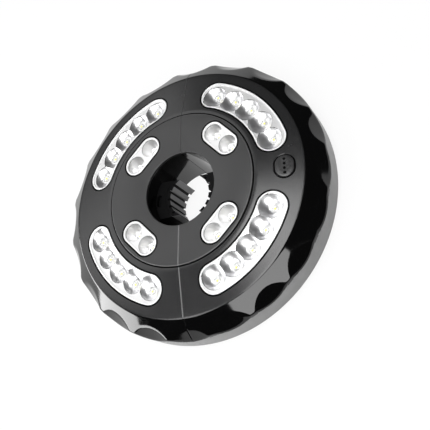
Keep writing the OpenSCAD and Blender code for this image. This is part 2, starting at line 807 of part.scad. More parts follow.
ring_sides = 6;
rings_per_curl = 8;
function coil_point(t, curls, r0, r1, wire, length) =
    let (inner = max(0, min(1, (t * (curls + 2) - 1) / curls)))
    let (a = inner * curls * 360)
    [
        (r0 + (r1 - r0) * inner) * cos(a),
        (r0 + (r1 - r0) * inner) * sin(a),
        wire / 2 + inner * (length - wire)
    ];
function coil_path(curls, r0, r1, wire, length) =
    let (count = curls * rings_per_curl)
    [for (i = [0 : count]) coil_point((i * curls / count + 1) / (curls + 2), curls, r0, r1, wire, length)];
function least_gap(path, wire, skip) = min([
    for (i = [0 : len(path) - 1 - skip]) for (j = [i + skip : len(path) - 1]) norm(path[i] - path[j])
]) - wire;
module coil(curls, r0, r1, wire, length) {
    path = coil_path(curls, r0, r1, wire, length);
    last = len(path) - 1;
    points = [
        for (i = [0 : last])
            let (a = i * 360 / rings_per_curl)
            for (j = [0 : ring_sides - 1])
                let (b = j * 360 / ring_sides)
                path[i] + wire / 2 * [cos(b) * cos(a), cos(b) * sin(a), sin(b)]
    ];
    sides = [
        for (i = [0 : last - 1]) for (j = [0 : ring_sides - 1])
            let (k = (j + 1) % ring_sides)
            for (t = [[j, k, k + ring_sides], [j, k + ring_sides, j + ring_sides]])
                [for (corner = t) i * ring_sides + corner]
    ];
    first_cap = [for (j = [ring_sides - 1 : -1 : 0]) j];
    last_cap = [for (j = [0 : ring_sides - 1]) last * ring_sides + j];
    echo(least_gap = least_gap(path, wire, rings_per_curl / 2));
    polyhedron(points, concat(sides, [first_cap, last_cap]), convexity = 6);
}

module jaw_springs() {
    length = bay_out_x - jaw_back_x + spring_bore_l;
    for (side = [-1, 1]) translate([jaw_back_x - spring_bore_l, side * spring_y, spring_z]) rotate([0, 90, 0])
        coil(spring_curls, spring_r, spring_r, spring_wire, length);
}
module right_jaw_springs() { color("silver") jaw_springs(); }
module left_jaw_springs() { color("silver") mirror([1, 0, 0]) jaw_springs(); }

// Cells, head to tail, with their contacts

module cell() {
    // the tip points along +Z and ends at zero
    translate([0, 0, -cell_l]) cylinder(r = cell_r - pin_gap, h = cell_l - cell_tip_h, $fn = 64);
    translate([0, 0, -cell_l]) cylinder(d = cell_tip_d, h = cell_l, $fn = 32);
}
module along_cells() {
    for (i = [0, 1]) translate([cell_xs[i], 0, cell_z]) rotate([-90 * cell_ways[i], 0, 0])
        translate([0, 0, bay_half - plate_t]) children();
}
module half_cells() { along_cells() cell(); }
module right_cells() { color("goldenrod") half_cells(); }
module left_cells() { color("goldenrod") mirror([1, 0, 0]) half_cells(); }

module contact_springs() {
    along_cells() translate([0, 0, -cell_l]) mirror([0, 0, 1])
        coil(contact_curls, contact_narrow_r, contact_wide_r, contact_wire, contact_room);
}
module right_contact_springs() { color("silver") contact_springs(); }
module left_contact_springs() { color("silver") mirror([1, 0, 0]) contact_springs(); }

module contact_plates() {
    size = contact_plate_w;
    along_cells() for (z = [0, -cell_l - contact_room - plate_t])
        translate([-size / 2, -size / 2, z]) cube([size, size, plate_t]);
}
module right_contact_plates() { color("silver") contact_plates(); }
module left_contact_plates() { color("silver") mirror([1, 0, 0]) contact_plates(); }

// Battery door, turning on two stub pins

module battery_door() {
    half = bay_half - door_gap;
    difference() {
        union() {
            translate([door_axis_x, -half, 0]) cube([bay_x + bay_w - door_gap - door_axis_x, 2 * half, back_t]);
            translate([door_axis_x, -half, back_t / 2]) rotate([-90, 0, 0]) cylinder(d = back_t, h = 2 * half, $fn = 32);
            translate([door_axis_x, -half - door_pin_l, back_t / 2]) rotate([-90, 0, 0])
                cylinder(r = door_pin_r, h = 2 * (half + door_pin_l), $fn = 32);
        }
        translate([bay_x + bay_w, 0, -cut]) cylinder(r = nail_notch_r, h = cut + nail_notch_depth, $fn = 48);
    }
}
module right_battery_door() { color("dimgray") battery_door(); }
module left_battery_door() { color("dimgray") mirror([1, 0, 0]) battery_door(); }

// Hinge pin, latch tongue and keeper

module hinge_pin() {
    color("silver") translate([0, hinge_y, barrel_z]) cylinder(r = pin_r, h = barrel_l, $fn = 48);
}

module latch_tongue() {
    color("silver") {
        translate([-seam_x - wall - seat_gap, tongue_y - tongue_w / 2, tongue_z])
            cube([seam_x + wall + seat_gap + tongue_l, tongue_w, tongue_t]);
        translate([-seam_x - wall - seat_gap - tongue_root, tongue_y - tongue_w / 2, tongue_z - tongue_t])
            cube([tongue_root, tongue_w, 3 * tongue_t]);
    }
}

module latch_keeper() {
    from_x = seam_x + wall + seat_gap;
    color("silver") difference() {
        translate([from_x, tongue_y - tongue_w / 2, tongue_z - fit_gap - keeper_leaf_t])
            cube([keeper_l + keeper_back, tongue_w, tongue_t + 2 * (fit_gap + keeper_leaf_t)]);
        translate([from_x - cut, tongue_y - tongue_w, tongue_z - fit_gap])
            cube([keeper_l + cut, 2 * tongue_w, tongue_t + 2 * fit_gap]);
    }
}

// Hanging hooks with their pins

module hook() {
    translate([hook_x, hook_pin_y, hook_z]) {
        difference() {
            union() {
                translate([-pocket_half + fit_gap, 0, 0]) rotate([0, 90, 0])
                    cylinder(r = hook_barrel_r, h = 2 * (pocket_half - fit_gap), $fn = 48);
                rotate([90, 0, 0]) cylinder(r = hook_bar_r, h = hook_shank - hook_r, $fn = 48);
                translate([0, -hook_shank, 0]) rotate(90 - 360 + hook_open)
                    rotate_extrude(angle = 360 - hook_open, $fn = 96) translate([hook_r, 0]) circle(r = hook_bar_r, $fn = 32);
            }
            translate([-pocket_half, 0, 0]) rotate([0, 90, 0])
                cylinder(r = hook_pin_r + pin_gap, h = 2 * pocket_half, $fn = 32);
        }
    }
}
module hook_pin() {
    translate([hook_x - pocket_half - hook_pin_bite + fit_gap, hook_pin_y, hook_z]) rotate([0, 90, 0])
        cylinder(r = hook_pin_r, h = 2 * (pocket_half + hook_pin_bite - fit_gap), $fn = 32);
}
module right_hook() { color("gray") hook(); }
module left_hook() { color("gray") rotate(180) hook(); }
module right_hook_pin() { color("silver") hook_pin(); }
module left_hook_pin() { color("silver") rotate(180) hook_pin(); }

// Screws

module screw() {
    difference() {
        union() {
            translate([0, 0, head_depth]) cylinder(r = screw_head_r, h = head_h, $fn = 48);
            translate([0, 0, head_depth]) cylinder(r = screw_r, h = screw_l, $fn = 32);
        }
        // the cross in the head
        for (a = [0, 90]) rotate(a) translate([-screw_r, -slot_w / 2, 0])
            cube([2 * screw_r, slot_w, head_depth + head_h / 2]);
    }
}
module half_screws() {
    for (a = rim_post_angles) rotate(a) translate([rim_post_r, 0, 0]) screw();
    for (a = hub_post_angles) rotate(a) translate([hub_post_r, 0, 0]) screw();
}
module right_screws() { color("silver") half_screws(); }
module left_screws() { color("silver") mirror([1, 0, 0]) half_screws(); }

right_front_shell();
left_front_shell();
right_hub_plate();
left_hub_plate();
right_back_cover();
left_back_cover();
upper_right_reflector();
lower_right_reflector();
upper_left_reflector();
lower_left_reflector();
upper_right_hub_reflector();
lower_right_hub_reflector();
upper_left_hub_reflector();
lower_left_hub_reflector();
right_leds();
left_leds();
right_led_board();
left_led_board();
mode_button();
push_switch();
right_jaw_carrier();
left_jaw_carrier();
right_jaw_pad();
left_jaw_pad();
right_jaw_springs();
left_jaw_springs();
right_battery_door();
left_battery_door();
right_cells();
left_cells();
right_contact_springs();
left_contact_springs();
right_contact_plates();
left_contact_plates();
hinge_pin();
latch_tongue();
latch_keeper();
right_hook();
left_hook();
right_hook_pin();
left_hook_pin();
right_screws();
left_screws();
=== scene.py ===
import json
import math
import bmesh
import bpy
from mathutils import Matrix, Vector


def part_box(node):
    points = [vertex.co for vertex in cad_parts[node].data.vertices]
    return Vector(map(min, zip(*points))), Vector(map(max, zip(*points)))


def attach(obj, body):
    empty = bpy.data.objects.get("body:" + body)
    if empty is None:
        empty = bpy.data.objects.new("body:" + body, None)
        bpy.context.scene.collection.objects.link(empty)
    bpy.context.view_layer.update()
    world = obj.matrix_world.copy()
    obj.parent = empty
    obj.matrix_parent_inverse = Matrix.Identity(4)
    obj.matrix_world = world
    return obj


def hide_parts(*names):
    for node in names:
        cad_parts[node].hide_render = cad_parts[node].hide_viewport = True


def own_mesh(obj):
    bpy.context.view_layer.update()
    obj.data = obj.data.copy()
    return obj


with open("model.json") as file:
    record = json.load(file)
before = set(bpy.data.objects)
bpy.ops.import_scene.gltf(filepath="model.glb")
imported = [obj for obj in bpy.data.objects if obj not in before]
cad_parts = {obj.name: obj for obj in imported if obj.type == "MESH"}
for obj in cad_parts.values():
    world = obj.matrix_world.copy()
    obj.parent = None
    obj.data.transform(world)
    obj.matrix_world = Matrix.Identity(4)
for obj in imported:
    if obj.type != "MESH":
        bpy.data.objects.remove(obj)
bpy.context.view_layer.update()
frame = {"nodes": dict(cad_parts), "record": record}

nodes = frame["nodes"]
mm = 0.001
print("frame loaded,", len(nodes), "nodes")


# body sizes in millimetres, shared by the shells, the hub plates and the finishes

body = {
    "height": 37.0, "boreR": 26.0, "hubR": 54.2, "ringInR": 55.1, "ringOutR": 87.6, "rimR": 100.0,
    "footR": 98.4, "ringInZ": 36.2, "ringOutZ": 29.3, "rimZ": 19.7, "wall": 2.0,
    "ledgeR": 51.45, "ledgeZ": 34.9, "coverZ": 2.6, "coverR": 97.4, "footZ": 0.4,
    "seamX": 0.07,            # half the gap between the halves
    "seamEase": 0.3,          # chamfer along the seam
    "landDrop": 0.8,          # a window's pale land lies this far below the face
    "sweep": 200,             # degrees spun for a half, before the cut along the seam
}
ringFall = (body["ringInZ"] - body["ringOutZ"]) / (body["ringOutR"] - body["ringInR"])
rimFall = (body["ringOutZ"] - body["rimZ"]) / (body["rimR"] - body["ringOutR"])
ringTilt = math.atan(ringFall)
ringTip = body["ringInZ"] + body["ringInR"] * ringFall     # where the lamp ring's cone meets the axis
underFace, overFace, farOver = 20, 44, 50                  # heights that clear the front on either side
touching, mergeGap = 1e-4, 0.0005                          # points nearer than these count as one


def faceZ(r):
    return body["ringInZ"] - (r - body["ringInR"]) * ringFall


def bevelZ(r):
    return body["ringOutZ"] - (r - body["ringOutR"]) * rimFall


# material helpers

def newMaterial(name):
    material = bpy.data.materials.new(name)
    material.use_nodes = True
    return material, material.node_tree, material.node_tree.nodes["Principled BSDF"]


def feed(tree, socket, value):
    if isinstance(value, bpy.types.NodeSocket):
        tree.links.new(value, socket)
    else:
        socket.default_value = value


def setInputs(tree, node, inputs):
    for key, value in inputs.items():
        feed(tree, node.inputs[key], value)


def addNode(tree, kind, inputs, **settings):
    node = tree.nodes.new(kind)
    for key, value in settings.items():
        setattr(node, key, value)
    setInputs(tree, node, inputs)
    return node


def objectCoords(tree):
    return addNode(tree, "ShaderNodeTexCoord", {}).outputs["Object"]


def noiseAt(tree, coords, scale, detail=3.0):
    inputs = {"Vector": coords, "Scale": scale, "Detail": detail, "Roughness": 0.55}
    return addNode(tree, "ShaderNodeTexNoise", inputs).outputs["Fac"]


def remap(tree, value, before, after):
    inputs = {"Value": value, "From Min": before[0], "From Max": before[1],
              "To Min": after[0], "To Max": after[1]}
    return addNode(tree, "ShaderNodeMapRange", inputs).outputs["Result"]


def mathNode(tree, operation, first, second=0.0):
    return addNode(tree, "ShaderNodeMath", {0: first, 1: second}, operation=operation).outputs[0]


def mixNode(tree, dataType, socketType, factor, first, second):
    node = addNode(tree, "ShaderNodeMix", {"Factor": factor}, data_type=dataType)
    for key, value in (("A", first), ("B", second)):
        socket = [s for s in node.inputs if s.name == key and s.type == socketType][0]
        feed(tree, socket, value)
    return [s for s in node.outputs if s.type == socketType][0]


def mixValue(tree, factor, first, second):
    return mixNode(tree, "FLOAT", "VALUE", factor, first, second)


def mixColour(tree, factor, first, second):
    first, second = ((*end, 1.0) if isinstance(end, tuple) else end for end in (first, second))
    return mixNode(tree, "RGBA", "RGBA", factor, first, second)


mottleSpan, smearSpan = (0.3, 0.7), (0.35, 0.7)            # noise values between which a pattern fades


def mottled(tree, coords, scale, colour, low, high):
    blotches = remap(tree, noiseAt(tree, coords, scale), mottleSpan, (0, 1))
    return mixColour(tree, blotches, tuple(c * low for c in colour), tuple(c * high for c in colour))


def smeared(tree, coords, scale, low, high, detail=4):
    return remap(tree, noiseAt(tree, coords, scale, detail), smearSpan, (low, high))


def addBump(tree, shader, height, depth, strength):
    bump = addNode(tree, "ShaderNodeBump", {"Height": height, "Strength": strength, "Distance": depth})
    feed(tree, shader.inputs["Normal"], bump.outputs["Normal"])


def addGrain(tree, shader, coords, scale, depth, strength):
    addBump(tree, shader, noiseAt(tree, coords, scale, 2), depth, strength)


def axisPart(tree, coords, axis):
    return addNode(tree, "ShaderNodeSeparateXYZ", {"Vector": coords}).outputs[axis]


def radiusFromAxis(tree, coords):
    flat = addNode(tree, "ShaderNodeVectorMath", {0: coords, 1: (1, 1, 0)}, operation="MULTIPLY")
    length = addNode(tree, "ShaderNodeVectorMath", {0: flat.outputs["Vector"]}, operation="LENGTH")
    return length.outputs["Value"]


# one value all over a cone that falls by this much for each unit of radius

def coneHeight(tree, coords, fall):
    lean = mathNode(tree, "MULTIPLY", radiusFromAxis(tree, coords), fall)
    return mathNode(tree, "ADD", axisPart(tree, coords, "Z"), lean)


# front finishes: satin face, grooves turned black as painted shade, and a pale painted highlight along the
# seam and the hub plate's outer edge

faceFinish = {
    "ring": {"colour": (0.012, 0.012, 0.0125), "roughness": 0.26, "ior": 1.6,
             "fall": ringFall, "top": ringTip},
    "hub": {"colour": (0.03, 0.03, 0.0305), "roughness": 0.4, "ior": 1.5,
            "fall": 0.0, "top": body["height"]},
}
faceWearAndPaintedLight = {
    "mottleScale": 38, "mottle": (0.94, 1.06),
    "smearScale": 90, "smear": (-0.012, 0.015),
    "grain": (2600, 0.03 * mm, 0.3),                # scale, depth and strength
    "grooveShadeColour": (0.003, 0.003, 0.003),
    "grooveDepths": (0.55, 0.4),                    # painted shade: black below the first, face colour above the second
    "paintedHighlightColour": (0.24, 0.24, 0.24),
    "highlightReach": (0.36 * mm, 0.46 * mm),            # from the seam
    "boreSpan": (-10 * mm, 10 * mm),                # across the bore the seam's painted highlight fades
    "highlightShares": (1, 0.25),                        # below the bore and above it
    "hubEdge": (53.6 * mm, 53.9 * mm), "hubEdgeHighlight": 0.35,
}


def makeFaceMaterial(name, kind):
    finish, wearAndPaintedLight = faceFinish[kind], faceWearAndPaintedLight
    material, tree, shader = newMaterial(name)
    coords = objectCoords(tree)
    grooveSpan = [(finish["top"] - depth) * mm for depth in wearAndPaintedLight["grooveDepths"]]
    # painted shade: faces sunk into a groove below the face turn black
    inGrooveShade = remap(tree, coneHeight(tree, coords, finish["fall"]), grooveSpan, (1, 0))
    # painted highlight: a pale strip along the seam, weaker above the bore
    fromSeam = mathNode(tree, "ABSOLUTE", axisPart(tree, coords, "X"))
    share = remap(tree, axisPart(tree, coords, "Y"), wearAndPaintedLight["boreSpan"], wearAndPaintedLight["highlightShares"])
    paintedHighlight = mathNode(tree, "MULTIPLY", remap(tree, fromSeam, wearAndPaintedLight["highlightReach"], (1, 0)), share)
    # painted highlight: a pale band at the hub plate's outer edge
    if kind == "hub":
        atEdge = remap(tree, radiusFromAxis(tree, coords), wearAndPaintedLight["hubEdge"], (0, wearAndPaintedLight["hubEdgeHighlight"]))
        paintedHighlight = mathNode(tree, "MAXIMUM", paintedHighlight, atEdge)
    grey = mottled(tree, coords, wearAndPaintedLight["mottleScale"], finish["colour"], *wearAndPaintedLight["mottle"])
    grey = mixColour(tree, paintedHighlight, grey, wearAndPaintedLight["paintedHighlightColour"])
    smooth, dull = (finish["roughness"] + smear for smear in wearAndPaintedLight["smear"])
    setInputs(tree, shader, {
        "Base Color": mixColour(tree, inGrooveShade, grey, wearAndPaintedLight["grooveShadeColour"]),
        "Roughness": smeared(tree, coords, wearAndPaintedLight["smearScale"], smooth, dull),
        "IOR": finish["ior"],
    })
    addGrain(tree, shader, coords, *wearAndPaintedLight["grain"])
    return material


# back covers: textured outside, smooth and darker on the bore's wall

backFinish = {
    "colour": (0.02, 0.02, 0.021), "roughness": 0.5, "grainShare": 1.0,
    "boreColour": (0.003, 0.003, 0.003), "boreRoughness": 0.1, "boreGrainShare": 0.05,
    "boreEdge": (28.3 * mm, 28.4 * mm),
    "mottleScale": 42, "mottle": (0.9, 1.1),
    "smearScale": 95, "smear": 0.03,
    "grainScale": 900, "grainDepth": 0.08 * mm, "grainStrength": 0.6,
    "ior": 1.65,
}


def makeBackMaterial():
    finish = backFinish
    material, tree, shader = newMaterial("texturedBackCover")
    coords = objectCoords(tree)
    outside = remap(tree, radiusFromAxis(tree, coords), finish["boreEdge"], (0, 1))
    grey = mottled(tree, coords, finish["mottleScale"], finish["colour"], *finish["mottle"])
    smear = smeared(tree, coords, finish["smearScale"], -finish["smear"], finish["smear"])
    rough = mixValue(tree, outside, finish["boreRoughness"], finish["roughness"])
    setInputs(tree, shader, {
        "Base Color": mixColour(tree, outside, finish["boreColour"], grey),
        "Roughness": mathNode(tree, "ADD", rough, smear),
        "IOR": finish["ior"],
    })
    share = mixValue(tree, outside, finish["boreGrainShare"], finish["grainShare"])
    grain = mathNode(tree, "MULTIPLY", noiseAt(tree, coords, finish["grainScale"], 2), share)
    addBump(tree, shader, grain, finish["grainDepth"], finish["grainStrength"])
    return material


# other mouldings, metals, lands and lamp domes

mouldingSet = {"mottleScale": 42, "mottle": (0.92, 1.08), "smearScale": 95, "smear": 0.03}


def makeMoulding(name, colour, roughness, grainScale=1800, grain=0.04, strength=0.4, ior=1.5, shine=0.5):
    material, tree, shader = newMaterial(name)
    coords = objectCoords(tree)
    m = mouldingSet
    setInputs(tree, shader, {
        "Base Color": mottled(tree, coords, m["mottleScale"], colour, *m["mottle"]),
        "Roughness": smeared(tree, coords, m["smearScale"], roughness - m["smear"], roughness + m["smear"]),
        "IOR": ior,
        "Specular IOR Level": shine,
    })
    addGrain(tree, shader, coords, grainScale, grain * mm, strength)
    return material


metalSet = {
    "mottleScale": 60, "mottle": (0.95, 1), "smearScale": 140,
    "brushDepth": 0.01 * mm, "brushStrength": 0.3,
    "lipReach": (0.45 * mm, 0.25 * mm), "lipPaintedShade": 0.12,     # painted shade: a cup darkens to a line at its mouth
}


def makeMetal(name, colour, roughness, brushScale=None, spread=0.25, lip=None):
    material, tree, shader = newMaterial(name)
    coords = objectCoords(tree)
    m = metalSet
    tone = mottled(tree, coords, m["mottleScale"], colour, *m["mottle"])
    # painted shade: the cup wall just below the land darkens to a line
    if lip:
        fall, top = lip
        mouthSpan = [(top - body["landDrop"]) * mm - reach for reach in m["lipReach"]]
        atMouth = remap(tree, coneHeight(tree, coords, fall), mouthSpan, (0, 1))
        tone = mixColour(tree, atMouth, tone, tuple(c * m["lipPaintedShade"] for c in colour))
    smooth, dull = roughness * (1 - spread), roughness * (1 + spread)
    setInputs(tree, shader, {
        "Base Color": tone,
        "Roughness": smeared(tree, coords, brushScale or m["smearScale"], smooth, dull),
        "Metallic": 1.0,
    })
    if brushScale:
        addGrain(tree, shader, coords, brushScale, m["brushDepth"], m["brushStrength"])
    return material


landSet = {"mottleScale": 80, "smearScale": 150, "smear": (0.32, 0.4), "grain": (900, 0.01 * mm, 0.3)}


def makeLand(name, metallic, low, high):
    material, tree, shader = newMaterial(name)
    coords = objectCoords(tree)
    setInputs(tree, shader, {
        "Base Color": mottled(tree, coords, landSet["mottleScale"], (1, 1, 1), low, high),
        "Roughness": smeared(tree, coords, landSet["smearScale"], *landSet["smear"]),
        "Metallic": metallic,
    })
    addGrain(tree, shader, coords, *landSet["grain"])
    return material


domeSet = {"mottleScale": 300, "mottle": (0.9, 0.96), "smearScale": 500, "smear": (0.03, 0.08), "alpha": 0.18}


def makeDome():
    material, tree, shader = newMaterial("clearLampDome")
    coords = objectCoords(tree)
    setInputs(tree, shader, {
        "Base Color": mottled(tree, coords, domeSet["mottleScale"], (1, 1, 1), *domeSet["mottle"]),
        "Roughness": smeared(tree, coords, domeSet["smearScale"], *domeSet["smear"], detail=3),
        "Alpha": domeSet["alpha"],
    })
    return material


cupLip, hubCupLip = (ringFall, ringTip), (0, body["height"])       # fall and top of the face round the cups
finishes = {
    "shell": makeFaceMaterial("satinLampRing", "ring"),
    "rim": makeMoulding("glossGripRim", (0.0008, 0.0008, 0.0009), 0.07, grain=0.004, strength=0.1, ior=1.48),
    "band": makeMoulding("satinSideBand", (0.17, 0.17, 0.17), 0.34, grain=0.01, strength=0.2),
    "hub": makeFaceMaterial("satinHubPlate", "hub"),
    "back": makeBackMaterial(),
    "mirror": makeMetal("metallisedReflector", (0.95, 0.95, 0.96), 0.33, spread=0.04, lip=cupLip),
    "hubMirror": makeMetal("satinMetallisedCup", (0.86, 0.86, 0.86), 0.36, spread=0.04, lip=hubCupLip),
    # painted shade: near-black and dull, laid on recess faces and on the button's dimple discs
    "recess": makeMoulding("recessPaintedShade", (0.002, 0.002, 0.002), 0.8, shine=0.05),
    "land": makeLand("paleMetallisedLand", 0.45, 0.76, 0.8),
    "bezel": makeLand("whiteWindowBezel", 0.0, 0.82, 0.86),
    "lamp": makeMoulding("phosphorSpot", (0.95, 0.86, 0.06), 0.5),
    "lampBase": makeMetal("silveredLampBase", (0.9, 0.9, 0.88), 0.3),
    "dome": makeDome(),
    "board": makeMoulding("whiteBoard", (0.72, 0.74, 0.72), 0.45),
    "button": makeMoulding("buttonCap", (0.022, 0.022, 0.0225), 0.28, ior=1.55),
    "jaw": makeMoulding("jawMoulding", (0.004, 0.004, 0.0042), 0.5, shine=0.08),
    "pad": makeMoulding("gripRubber", (0.15, 0.15, 0.152), 0.6, grainScale=1200, grain=0.06),
    "steel": makeMetal("platedSteel", (0.62, 0.62, 0.6), 0.28, brushScale=700),
    "cell": makeMoulding("cellSleeve", (0.35, 0.36, 0.38), 0.3),
    "hook": makeMoulding("hookMoulding", (0.03, 0.03, 0.031), 0.4),
}
slotOf = {part["node"]: part["material_slot"] for part in frame["record"]["subparts"]}
for nodeName, cadNode in nodes.items():
    cadNode.data.materials.clear()
    cadNode.data.materials.append(finishes[slotOf[nodeName]])
print("materials set")


# shaping helpers, all in millimetres until a piece is finished

def addObject(name, data):
    made = bpy.data.objects.new(name, data)
    bpy.context.scene.collection.objects.link(made)
    return made


def meshObject(name, shape):
    mesh = bpy.data.meshes.new(name)
    shape.to_mesh(mesh)
    shape.free()
    return addObject(name, mesh)


def zTurn(degrees):
    return Matrix.Rotation(math.radians(degrees), 4, "Z")


def vertsIn(geometry):
    return [part for part in geometry if isinstance(part, bmesh.types.BMVert)]


def carve(target, cutters, operation="DIFFERENCE"):
    for cutter in cutters:
        modifier = target.modifiers.new("cut", "BOOLEAN")
        modifier.operation = operation
        modifier.solver = "EXACT"
        modifier.object = cutter
    graph = bpy.context.evaluated_depsgraph_get()
    carved = bpy.data.meshes.new_from_object(target.evaluated_get(graph))
    target.modifiers.clear()
    target.data = carved
    for cutter in cutters:
        bpy.data.objects.remove(cutter)
    return target


def joinMeshes(first, others):
    shape = bmesh.new()
    for part in [first] + others:
        shape.from_mesh(part.data)
    for part in others:
        bpy.data.objects.remove(part)
    shape.to_mesh(first.data)
    shape.free()
    return first


def repeatAt(places, single):
    mesh = bpy.data.meshes.new("single")
    single.to_mesh(mesh)
    single.free()
    shape = bmesh.new()
    for place in places:
        mesh.transform(place)
        shape.from_mesh(mesh)
        mesh.transform(place.inverted())
    bpy.data.meshes.remove(mesh)
    return shape


def finishPiece(made, rider, finish, replaced=(), sharpAngle=32, materials=None, mirrored=False):
    shape = bmesh.new()
    shape.from_mesh(made.data)
    if mirrored:
        bmesh.ops.scale(shape, vec=(-1, 1, 1), verts=shape.verts)
    bmesh.ops.remove_doubles(shape, verts=shape.verts, dist=mergeGap)
    bmesh.ops.dissolve_degenerate(shape, dist=mergeGap, edges=shape.edges)
    bmesh.ops.recalc_face_normals(shape, faces=shape.faces)
    bmesh.ops.scale(shape, vec=(mm, mm, mm), verts=shape.verts)
    shape.to_mesh(made.data)
    shape.free()
    made.data.shade_smooth()
    made.data.set_sharp_from_angle(angle=math.radians(sharpAngle))
    faceSlots = [face.material_index for face in made.data.polygons]     # clear() sets these to 0
    made.data.materials.clear()
    for material in materials or [finishes[finish]]:
        made.data.materials.append(material)
    made.data.polygons.foreach_set("material_index", faceSlots if materials else [0] * len(faceSlots))
    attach(made, rider)
    if replaced:
        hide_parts(*replaced)


# part of a turn is centred on the X axis

def spinProfile(shape, points, steps, angle=360, closed=True):
    turn = zTurn(0 if angle == 360 else -angle / 2)
    verts = [shape.verts.new(turn @ Vector((r, 0, z))) for r, z in points]
    pairs = list(zip(verts, verts[1:])) + ([(verts[-1], verts[0])] if closed else [])
    edges = [shape.edges.new(pair) for pair in pairs]
    bmesh.ops.spin(shape, geom=verts + edges, cent=(0, 0, 0), axis=(0, 0, 1), dvec=(0, 0, 0),
                   angle=math.radians(angle), steps=steps, use_merge=angle == 360)


def closeShape(shape):
    loose = [e for e in shape.edges if e.is_boundary]
    bmesh.ops.holes_fill(shape, edges=loose, sides=0)
    bmesh.ops.recalc_face_normals(shape, faces=shape.faces)


def cutAcross(shape, point, outward, clear=True):
    every = shape.verts[:] + shape.edges[:] + shape.faces[:]
    bmesh.ops.bisect_plane(shape, geom=every, dist=1e-5, plane_co=point, plane_no=outward, clear_outer=clear)


def topEdges(shape):
    top = max(v.co.z for v in shape.verts)
    return [e for e in shape.edges if min(v.co.z for v in e.verts) > top - touching]


def roundEdges(shape, edges, offset, segments=2):
    bmesh.ops.bevel(shape, geom=edges, offset=offset, offset_type="OFFSET", segments=segments, profile=0.5,
                    affect="EDGES", material=-1)


# a flat oval, straight along Y, or bent round the axis where it has a spread in degrees

def roundEnded(half, centre, spread=0.0, straight=0.0, segments=48, cuts=28):
    shape = bmesh.new()
    bmesh.ops.create_circle(shape, cap_ends=False, radius=half, segments=segments,
                            matrix=zTurn(180 / segments))
    sides = [e for e in shape.edges if e.verts[0].co.y * e.verts[1].co.y < 0]
    for vert in shape.verts:
        way = 1 if vert.co.y > 0 else -1
        vert.co.x += centre
        vert.co.y += way * straight
        vert.co = zTurn(way * spread) @ vert.co
    if spread:
        for edge in sides:
            far = edge.verts[0].co.to_2d().length > centre
            added = bmesh.ops.subdivide_edges(shape, edges=[edge], cuts=cuts)["geom_inner"]
            for vert in vertsIn(added):
                vert.co *= (centre + (half if far else -half)) / vert.co.length
    bmesh.ops.contextual_create(shape, geom=shape.edges[:])
    return shape


def raiseFaces(shape, step):
    raised = bmesh.ops.extrude_face_region(shape, geom=shape.faces[:])["geom"]
    bmesh.ops.translate(shape, vec=step, verts=vertsIn(raised))
    bmesh.ops.recalc_face_normals(shape, faces=shape.faces)
    return shape


def prism(shape, low, high):
    bmesh.ops.translate(shape, vec=(0, 0, low), verts=shape.verts)
    return raiseFaces(shape, (0, 0, high - low))


def cylinder(shape, radius, low, high, at=(0, 0), segments=48):
    bmesh.ops.create_cone(shape, cap_ends=True, segments=segments, radius1=radius, radius2=radius,
                          depth=high - low, matrix=Matrix.Translation((at[0], at[1], (low + high) / 2)))
    return shape


def box(shape, low, high):
    made = bmesh.ops.create_cube(shape, size=1)["verts"]
    bmesh.ops.scale(shape, vec=[b - a for a, b in zip(low, high)], verts=made)
    bmesh.ops.translate(shape, vec=[(a + b) / 2 for a, b in zip(low, high)], verts=made)
    return shape


def softMin(first, second, blend):
    low = min(first, second)
    return low - blend * math.log(math.exp((low - first) / blend) + math.exp((low - second) / blend))


# windows: outlines and cone blocks that the shells, hub plates and reflectors share

windowSet = {
    "radius": 70.1, "half": 10.2, "spread": 24.86, "turns": (45, -45),
    "rim": 0.95, "rimDepth": 0.7,   # recess round each window, coloured black as painted shade
    "blockR": (57, 84),             # a cone block covers the window between these
    "cups": 5, "cupStep": 12.367,   # degrees from cup to cup
    "hubRadius": 42.7, "hubHalf": 8.0, "hubPitch": 14.9,
}


def arcOutline(grow, low, high):
    w = windowSet
    flat = roundEnded(w["half"] + grow, w["radius"], spread=w["spread"])
    return meshObject("arcOutline", prism(flat, low, high))


def slotOutline(grow, low, high):
    w = windowSet
    flat = roundEnded(w["hubHalf"] + grow, w["hubRadius"], straight=w["hubPitch"] / 2)
    return meshObject("slotOutline", prism(flat, low, high))


def coneBlock(lowAt, highAt):
    inner, outer = windowSet["blockR"]
    shape = bmesh.new()
    spinProfile(shape, [(inner, lowAt(inner)), (outer, lowAt(outer)), (outer, highAt(outer)),
                        (inner, highAt(inner))], 90, angle=90)
    closeShape(shape)
    return meshObject("coneBlock", shape)


def windowPool(grow, depth):
    block = coneBlock(lambda r: faceZ(r) - depth, lambda r: farOver)
    return carve(arcOutline(grow, underFace, overFace), [block], "INTERSECT")


def atWindows(makeOne):
    made = [makeOne() for turn in windowSet["turns"]]
    for one, turn in zip(made, windowSet["turns"]):
        one.data.transform(zTurn(turn))
    return made


# grip shells: lamp ring, scooped rim, band and seam wall

